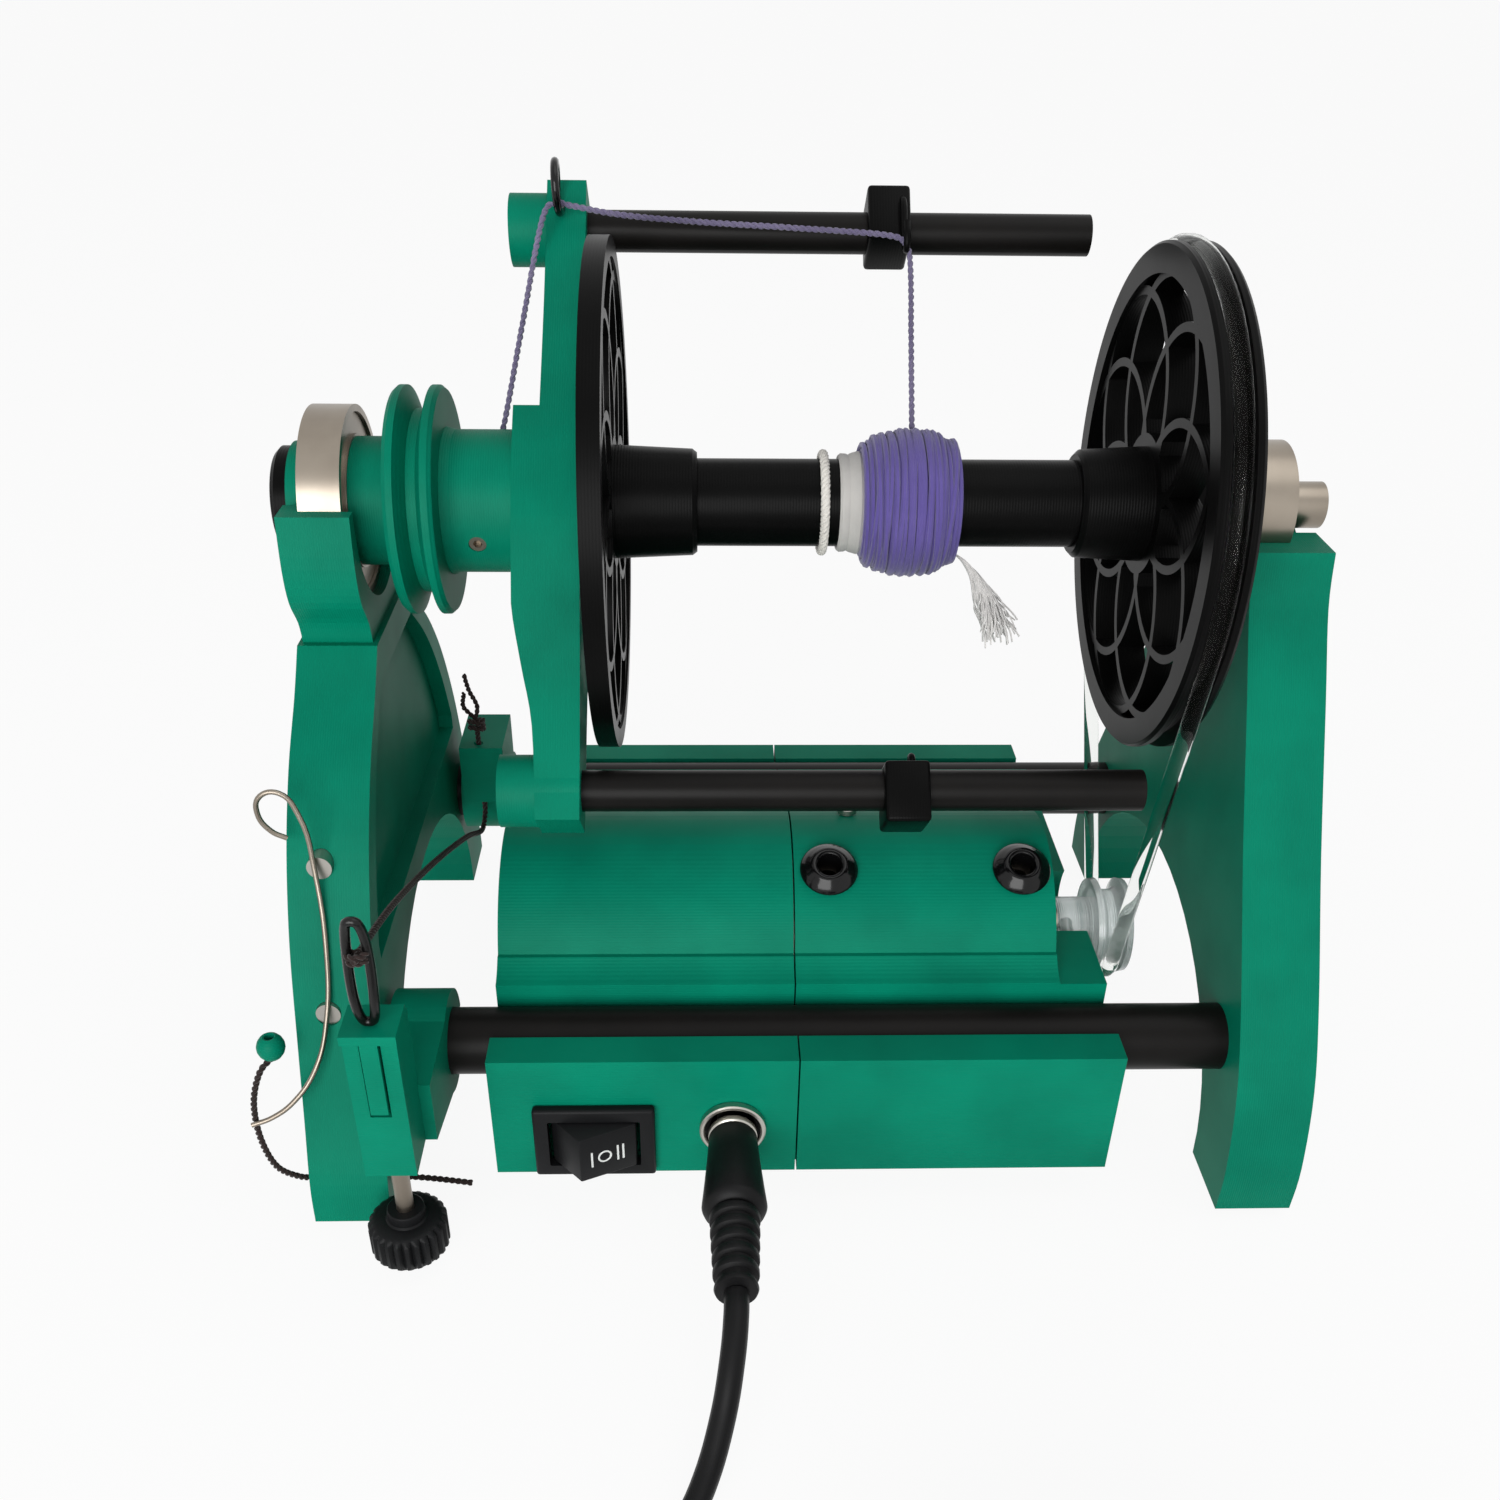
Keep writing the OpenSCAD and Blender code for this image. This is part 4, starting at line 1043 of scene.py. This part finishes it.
@dataclass
class Guides(Assembly):
    """The two sliding guides: a rounded block on the rod, with a wire hook for the yarn."""

    stations: Pair = (32.8, 33.5)
    rod_at: float = 51.5
    size: Triple = (7.6, 10.4, 10.4)
    lift: float = 1.1
    bore: float = 3.54
    hook: Profile = (
        (-5.0, 3.4), (-5.7, 2.6), (-5.9, -2), (-6.0, -5.6), (-7.4, -7.8), (-9.0, -6.2), (-9.1, -3.6),
    )

    def guide(self, name: str, x: float, side: int) -> Piece:
        """Builds one guide round its rod.

        Args:
            name: The piece's name.
            x: Station along the spindle.
            side: One for the upper rod and minus one for the lower one.

        Returns:
            The guide.
        """
        w, d, h = self.size
        low, high = -h / 2 - self.lift, h / 2 - self.lift
        body = Bench.slab("guide_block", [(low, -d / 2), (high, -d / 2), (high, d / 2), (low, d / 2)], w)
        Bench.soften(body, 0.7, 3)
        body = Bench.cut(body, Bench.turned("bore", [(-1, self.bore), (w + 1, self.bore)], 40))
        wire = Line.tube("guide_hook", [Vector((-z, y, w - 1.4)) * MM for y, z in self.hook], 0.6)
        flip = Matrix.Identity(4) if side > 0 else Matrix.Rotation(pi, 4, "X")
        on_rod = Matrix.Translation(Vector((-w / 2, 0, self.rod_at)) * MM)
        turn = Matrix.Rotation(FLYER_TURN, 4, "X") @ flip @ on_rod
        return Bench.stand(Bench.join(name, [body, wire]), (x, 0, AXIS_H), Axis.RIGHT, turn)

    def build(self) -> None:
        """Builds both guides."""
        for node, x, side in (("guide_upper", self.stations[0], 1), ("guide_lower", self.stations[1], -1)):
            self.keep(self.guide(f"{node}_block", x, side), Look.BLACK_PRINT, node)


@dataclass
class BrakeRig(Assembly):
    """Tension loop, knurled knob, brake cord and its knot."""

    tower: Pair = (-51.8, -70.8)
    slider_top: float = 55.0
    loop_top: float = 75.0
    rear: Pair = (-49.8, 33.15)
    knob_sides: int = 72
    knob_rim: float = 6.4
    knurl_every: int = 3
    knurl_share: float = 0.9

    @property
    def tie(self) -> Pair:
        """Where the loop stands on the slider, in X and Y."""
        return self.tower[0], self.tower[1] - 2.6

    def loop(self) -> Piece:
        """Twists the elastic loop, pinched where the brake cord is tied to it."""
        x, y = self.tie
        mid = (self.slider_top + 0.8 + self.loop_top) / 2
        tall = self.loop_top - mid
        run = []
        for i in range(28):
            a = tau * i / 28
            wide = 1.65 * copysign(abs(cos(a)) ** 0.6, cos(a))
            run.append(spot((x + wide, y + 0.3 * sin(3 * a), mid + tall * sin(a))))
        return Line.tube("elastic_loop", run, 0.78, True)

    def knob(self) -> Piece:
        """Turns the knob and draws in every third corner of its rim as a knurl."""
        rows = [
            (0, 0.6), (0, 5.4), (0.3, 5.9), (0.9, 6.6), (1.2, 6.75), (6.2, 6.75), (6.6, 6.5), (7.1, 5.9), (7.4, 5.4),
            (7.5, 3.6), (7.8, 3.3), (9.4, 3.2), (9.6, 3.0), (9.6, 1.52), (8.6, 1.5),
        ]
        body = Bench.turned("tension_knob_knurled", rows, self.knob_sides)
        for vertex in body.data.vertices:
            flat = Vector((vertex.co.x, vertex.co.y))
            corner = round(atan2(flat.y, flat.x) / tau * self.knob_sides)
            if flat.length > self.knob_rim * MM and corner % self.knurl_every == 0:
                vertex.co.x *= self.knurl_share
                vertex.co.y *= self.knurl_share
        return Bench.stand(body, (*self.tower, 3.4))

    def cord(self) -> Piece:
        """Twists the brake cord from the loop to the knot over the rear clip."""
        x, y = self.tie
        bx, by = self.rear
        route: list[Point] = [
            (x, y - 1.6, 68.3), (x, y + 2, 68), (-51.5, -50, 61.6), (-50.9, -20, 50), (-50.2, 10, 36.8),
            (-49.9, 26, 28.4), (bx, 31.6, 28.6), (bx, by, 31.6), (bx, by, 40), (bx, by, 49.5),
        ]
        return Line.twisted("brake_cord_twisted", spots(route), 0.62)

    def knot(self) -> Piece:
        """Ties the overhand knot above the rear clip, with its two free ends, and the hitch on the loop."""
        bx, by = self.rear
        run = []
        for i in range(19):
            a = tau * i / 9
            z = 49.6 + 0.16 * i + 0.5 * sin(2 * a)
            run.append(spot((bx + 1.45 * cos(a), by + 1.35 * sin(a), z)))
        wraps = Line.twisted("knot_wraps", run, 0.6)
        ends = []
        for points in (
            [(bx + 0.8, by, 51.6), (bx - 1.6, by + 0.7, 53.6), (-52.4, 33.6, 55.4), (-51.8, 33, 58.6)],
            [(bx - 0.6, by, 51.4), (bx + 0.4, by + 0.6, 55), (-50.8, 33.6, 59), (-51.4, 33, 63)],
        ):
            ends.append(Line.twisted("knot_end", spots(points), 0.55))
        x, y = self.tie
        angles = [tau * i / 8 for i in range(18)]
        hitch = spots((x + 1.5 * cos(a), y + 1.1 * sin(a), 67.1 + 0.13 * i) for i, a in enumerate(angles))
        return Bench.join("brake_knots", [wraps, *ends, Line.twisted("hitch", hitch, 0.6)])

    def build(self) -> None:
        """Builds the brake's soft parts and the knob."""
        self.keep(self.loop(), Look.ELASTIC, "tension_loop")
        self.keep(self.knob(), Look.BLACK_PLASTIC, "tension_knob")
        self.keep(self.cord(), Look.THREAD, "brake_cord")
        self.keep(self.knot(), Look.THREAD, "brake_cord", ())


@dataclass
class HookSet(Assembly):
    """Bent wire threading hook, with its tether and bead."""

    hook: Route = (
        (-69.2, -42.8, 69.9), (-71.4, -43.2, 71.5), (-73, -43.4, 74.9), (-72, -43.4, 78.3), (-69, -43.2, 78.7),
        (-66.4, -43.4, 74.6), (-65, -44.9, 64.5), (-64, -49.6, 52), (-64.6, -54.2, 40.8), (-66.8, -58, 33),
        (-70.6, -60.6, 28), (-74.4, -61.8, 25.4), (-78, -62.4, 24.2),
    )
    tether: Route = (
        (-73.4, -58.4, 36), (-75.6, -60, 34), (-77.4, -61, 28), (-77.6, -61.2, 20), (-76.2, -60.6, 12.6),
        (-73.4, -58.6, 8), (-70.6, -57, 6.2), (-63, -57, 6.2), (-56, -57, 6.2), (-50, -57.2, 5.8), (-43, -57.6, 5),
    )
    bead_at: Triple = (-73.4, -58.4, 38.3)

    def build(self) -> None:
        """Builds the hook, tether and bead."""
        wire = Line.tube("threading_hook_wire", spots(self.hook), 0.45)
        self.keep(wire, Look.STEEL, "threading_hook")
        tether = Line.twisted("tether_twisted", spots(self.tether), 0.6)
        self.keep(tether, Look.THREAD, "tether_cord")
        rows = [
            (-2.15, 0.85), (-2.2, 1.1), (-1.9, 1.6), (-1.2, 2.1), (-0.4, 2.36), (0.4, 2.36), (1.2, 2.1), (1.9, 1.6),
            (2.2, 1.1), (2.15, 0.85), (-2.15, 0.85),
        ]
        bead = Bench.stand(Bench.turned("bead", rows, 32), self.bead_at)
        self.keep(bead, Look.PRINT_UP, "tether_bead")


@dataclass
class Drive(Assembly):
    """Clear round belt over the bobbin whorl and the motor pulley."""

    at: float = 79.1
    big: float = 42.1
    small: float = 9.0
    thick: float = 3.0
    big_steps: int = 48
    small_steps: int = 14
    straight_steps: int = 24

    def build(self) -> None:
        """Builds the belt as one closed loop of two arcs and two straights."""
        dy, dz = MOTOR_AT[0], MOTOR_AT[1] - AXIS_H
        gap = hypot(dy, dz)
        tilt = asin((self.big - self.small) / gap)
        down = (dy / gap, dz / gap)
        side = (-down[1], down[0])

        def arc(cy: float, cz: float, r: float, first: float, last: float, count: int) -> list[Vector]:
            """Lists an arc's points, with its angles measured from the line towards the motor."""
            made = []
            for i in range(count + 1):
                a = first + (last - first) * i / count
                y = cy + r * (cos(a) * down[0] + sin(a) * side[0])
                z = cz + r * (cos(a) * down[1] + sin(a) * side[1])
                made.append(spot((self.at, y, z)))
            return made

        def straight(a: Vector, b: Vector) -> list[Vector]:
            """Lists the points between two arc ends."""
            return [a.lerp(b, i / self.straight_steps) for i in range(1, self.straight_steps)]

        whorl = arc(0, AXIS_H, self.big, pi / 2 - tilt, 1.5 * pi + tilt, self.big_steps)
        pulley = arc(*MOTOR_AT, self.small, -pi / 2 + tilt, pi / 2 - tilt, self.small_steps)
        run = [*whorl, *straight(whorl[-1], pulley[0]), *pulley, *straight(pulley[-1], whorl[0])]
        belt = Line.tube("drive_belt_round", run, self.thick / 2 - 0.02, True)
        self.keep(belt, Look.BELT, "drive_belt")


class Studio:
    """Camera, pale floor and plain soft light."""

    place = (-0.01497, -0.23602, 0.19669)
    right = (0.99961373, -0.02468385, 0.01277104)
    up = (0.00319911, 0.55866666, 0.82938611)
    ahead = (0.0276072, 0.82902489, -0.55852983)
    lens = 34.33
    shift = (0.0022, 0.0876)
    light = 0.32
    floor_tone = 0.9
    floor_share = 0.92

    def camera(self) -> None:
        """Sets the camera at the photograph's place and angle."""
        data = bpy.data.cameras.new("view")
        data.lens = self.lens
        data.sensor_width = 36.0
        data.shift_x, data.shift_y = self.shift
        data.clip_start = 0.01
        cam = bpy.data.objects.new("view", data)
        rows = [[self.right[i], self.up[i], -self.ahead[i], self.place[i]] for i in range(3)]
        cam.matrix_world = Matrix([*rows, [0, 0, 0, 1]])
        bpy.context.scene.collection.objects.link(cam)
        bpy.context.scene.camera = cam

    def lamp(self, name: str, at: Point, aim: Point, size: float, power: float) -> None:
        """Adds a soft square lamp.

        Args:
            name: The lamp's name.
            at: Its place in metres.
            aim: The point it faces.
            size: Side in metres.
            power: Watts.
        """
        data = bpy.data.lights.new(name, "AREA")
        data.size = size
        data.energy = power
        lamp = bpy.data.objects.new(name, data)
        lamp.location = at
        lamp.rotation_mode = "QUATERNION"
        lamp.rotation_quaternion = (Vector(aim) - Vector(at)).to_track_quat("-Z", "Y")
        bpy.context.scene.collection.objects.link(lamp)

    def world(self) -> None:
        """Makes the surroundings: grey light, and plain white where they are seen."""
        world = bpy.data.worlds.new("studio")
        world.use_nodes = True
        bpy.context.scene.world = world
        graph = Graph(world.node_tree)
        graph.nodes.clear()
        light = graph.add("Background", {"Color": WHITE, "Strength": self.light})
        seen = graph.add("Background", {"Color": WHITE, "Strength": 1.0})
        mix = graph.add("MixShader", {0: self.seen_rays(graph), 1: light.outputs[0], 2: seen.outputs[0]})
        graph.add("OutputWorld", {0: mix.outputs[0]})

    @staticmethod
    def seen_rays(graph: Graph) -> Socket:
        """Adds up the camera, glossy and transmission rays.

        Args:
            graph: Nodes to add to.

        Returns:
            A socket that is one for those rays.
        """
        path = graph.add("LightPath")
        total = path.outputs["Is Camera Ray"]
        for name in ("Is Glossy Ray", "Is Transmission Ray"):
            larger = graph.add("Math", {0: total, 1: path.outputs[name]})
            larger.operation = "MAXIMUM"
            total = larger.outputs[0]
        return total

    def floor(self) -> None:
        """Lays the white floor, which keeps a soft shadow."""
        Bench.clear()
        bpy.ops.mesh.primitive_plane_add(size=16)
        floor = bpy.context.object
        floor.name = "floor"
        material = bpy.data.materials.new("white_floor")
        material.use_nodes = True
        graph = Graph(material.node_tree)
        shader = graph.nodes["Principled BSDF"]
        graph.feed(shader, {"Base Color": (*[self.floor_tone] * 3, 1), "Roughness": 0.8})
        glow = graph.add("Emission", {"Strength": 1.0})
        share = graph.add("Math", {0: self.seen_rays(graph), 1: self.floor_share})
        share.operation = "MULTIPLY"
        mix = graph.add("MixShader", {0: share.outputs[0], 1: shader.outputs[0], 2: glow.outputs[0]})
        graph.feed(graph.nodes["Material Output"], {0: mix.outputs[0]})
        floor.data.materials.append(material)

    def build(self) -> None:
        """Builds the studio."""
        self.camera()
        self.world()
        self.floor()
        self.lamp("front_soft", (-0.25, -1.05, 0.3), (0, 0, 0.07), 0.8, 12.0)
        self.lamp("top_soft", (0.4, -0.1, 1.1), (0, 0, 0.08), 0.8, 2.0)
        bpy.context.scene.view_settings.view_transform = "Standard"


@dataclass
class CadParts(Assembly):
    """The CAD nodes that stay as they are and only get their finishes."""

    looks: dict[Look, str] = field(default_factory=lambda: {
        Look.PRINT_ALONG: "upright_left upright_right cradle_block flyer_arm flyer_hub brake_pulley",
        Look.PRINT_UP: "case_left case_right case_cover bracket_front bracket_rear tension_slider",
        Look.BLACK_TUBE: "tie_rod_front tie_rod_rear rod_upper rod_lower",
        Look.BLACK_PRINT: "orifice_ring bobbin_core bobbin_flange bobbin_whorl",
        Look.STEEL: "bearing_left_outer bearing_left_inner bearing_right_outer bearing_right_inner axle "
                    "gear_motor tension_screw hub_screws cover_screws motor_screws",
        Look.ZINC: "case_screw magnets",
        Look.RUBBER: "rubber_feet",
        Look.CLEAR: "motor_pulley",
        Look.BOARD: "control_board",
    })

    def build(self) -> None:
        """Dresses each shown node."""
        looks = {name: look for look, names in self.looks.items() for name in names.split()}
        for name, obj in frame["nodes"].items():
            look = looks.get(name)
            if look is not None:
                self.palette.dress(obj, look)
                log.info("%s: CAD node, %s", name, look.value.name)
            elif not obj.hide_render:
                log.warning("%s has no finish", name)


def main() -> None:
    """Builds the studio and every sub-assembly, and logs the finish of each dressed CAD node."""
    logging.basicConfig(level=logging.INFO, format="%(message)s")
    Studio().build()
    palette = Palette()
    for kind in (PowerLead, Switch, Grommets, YarnOnBobbin, FlyerThread, Guides, BrakeRig, HookSet, Drive, CadParts):
        kind(palette).build()


if __name__ == "__main__":
    main()
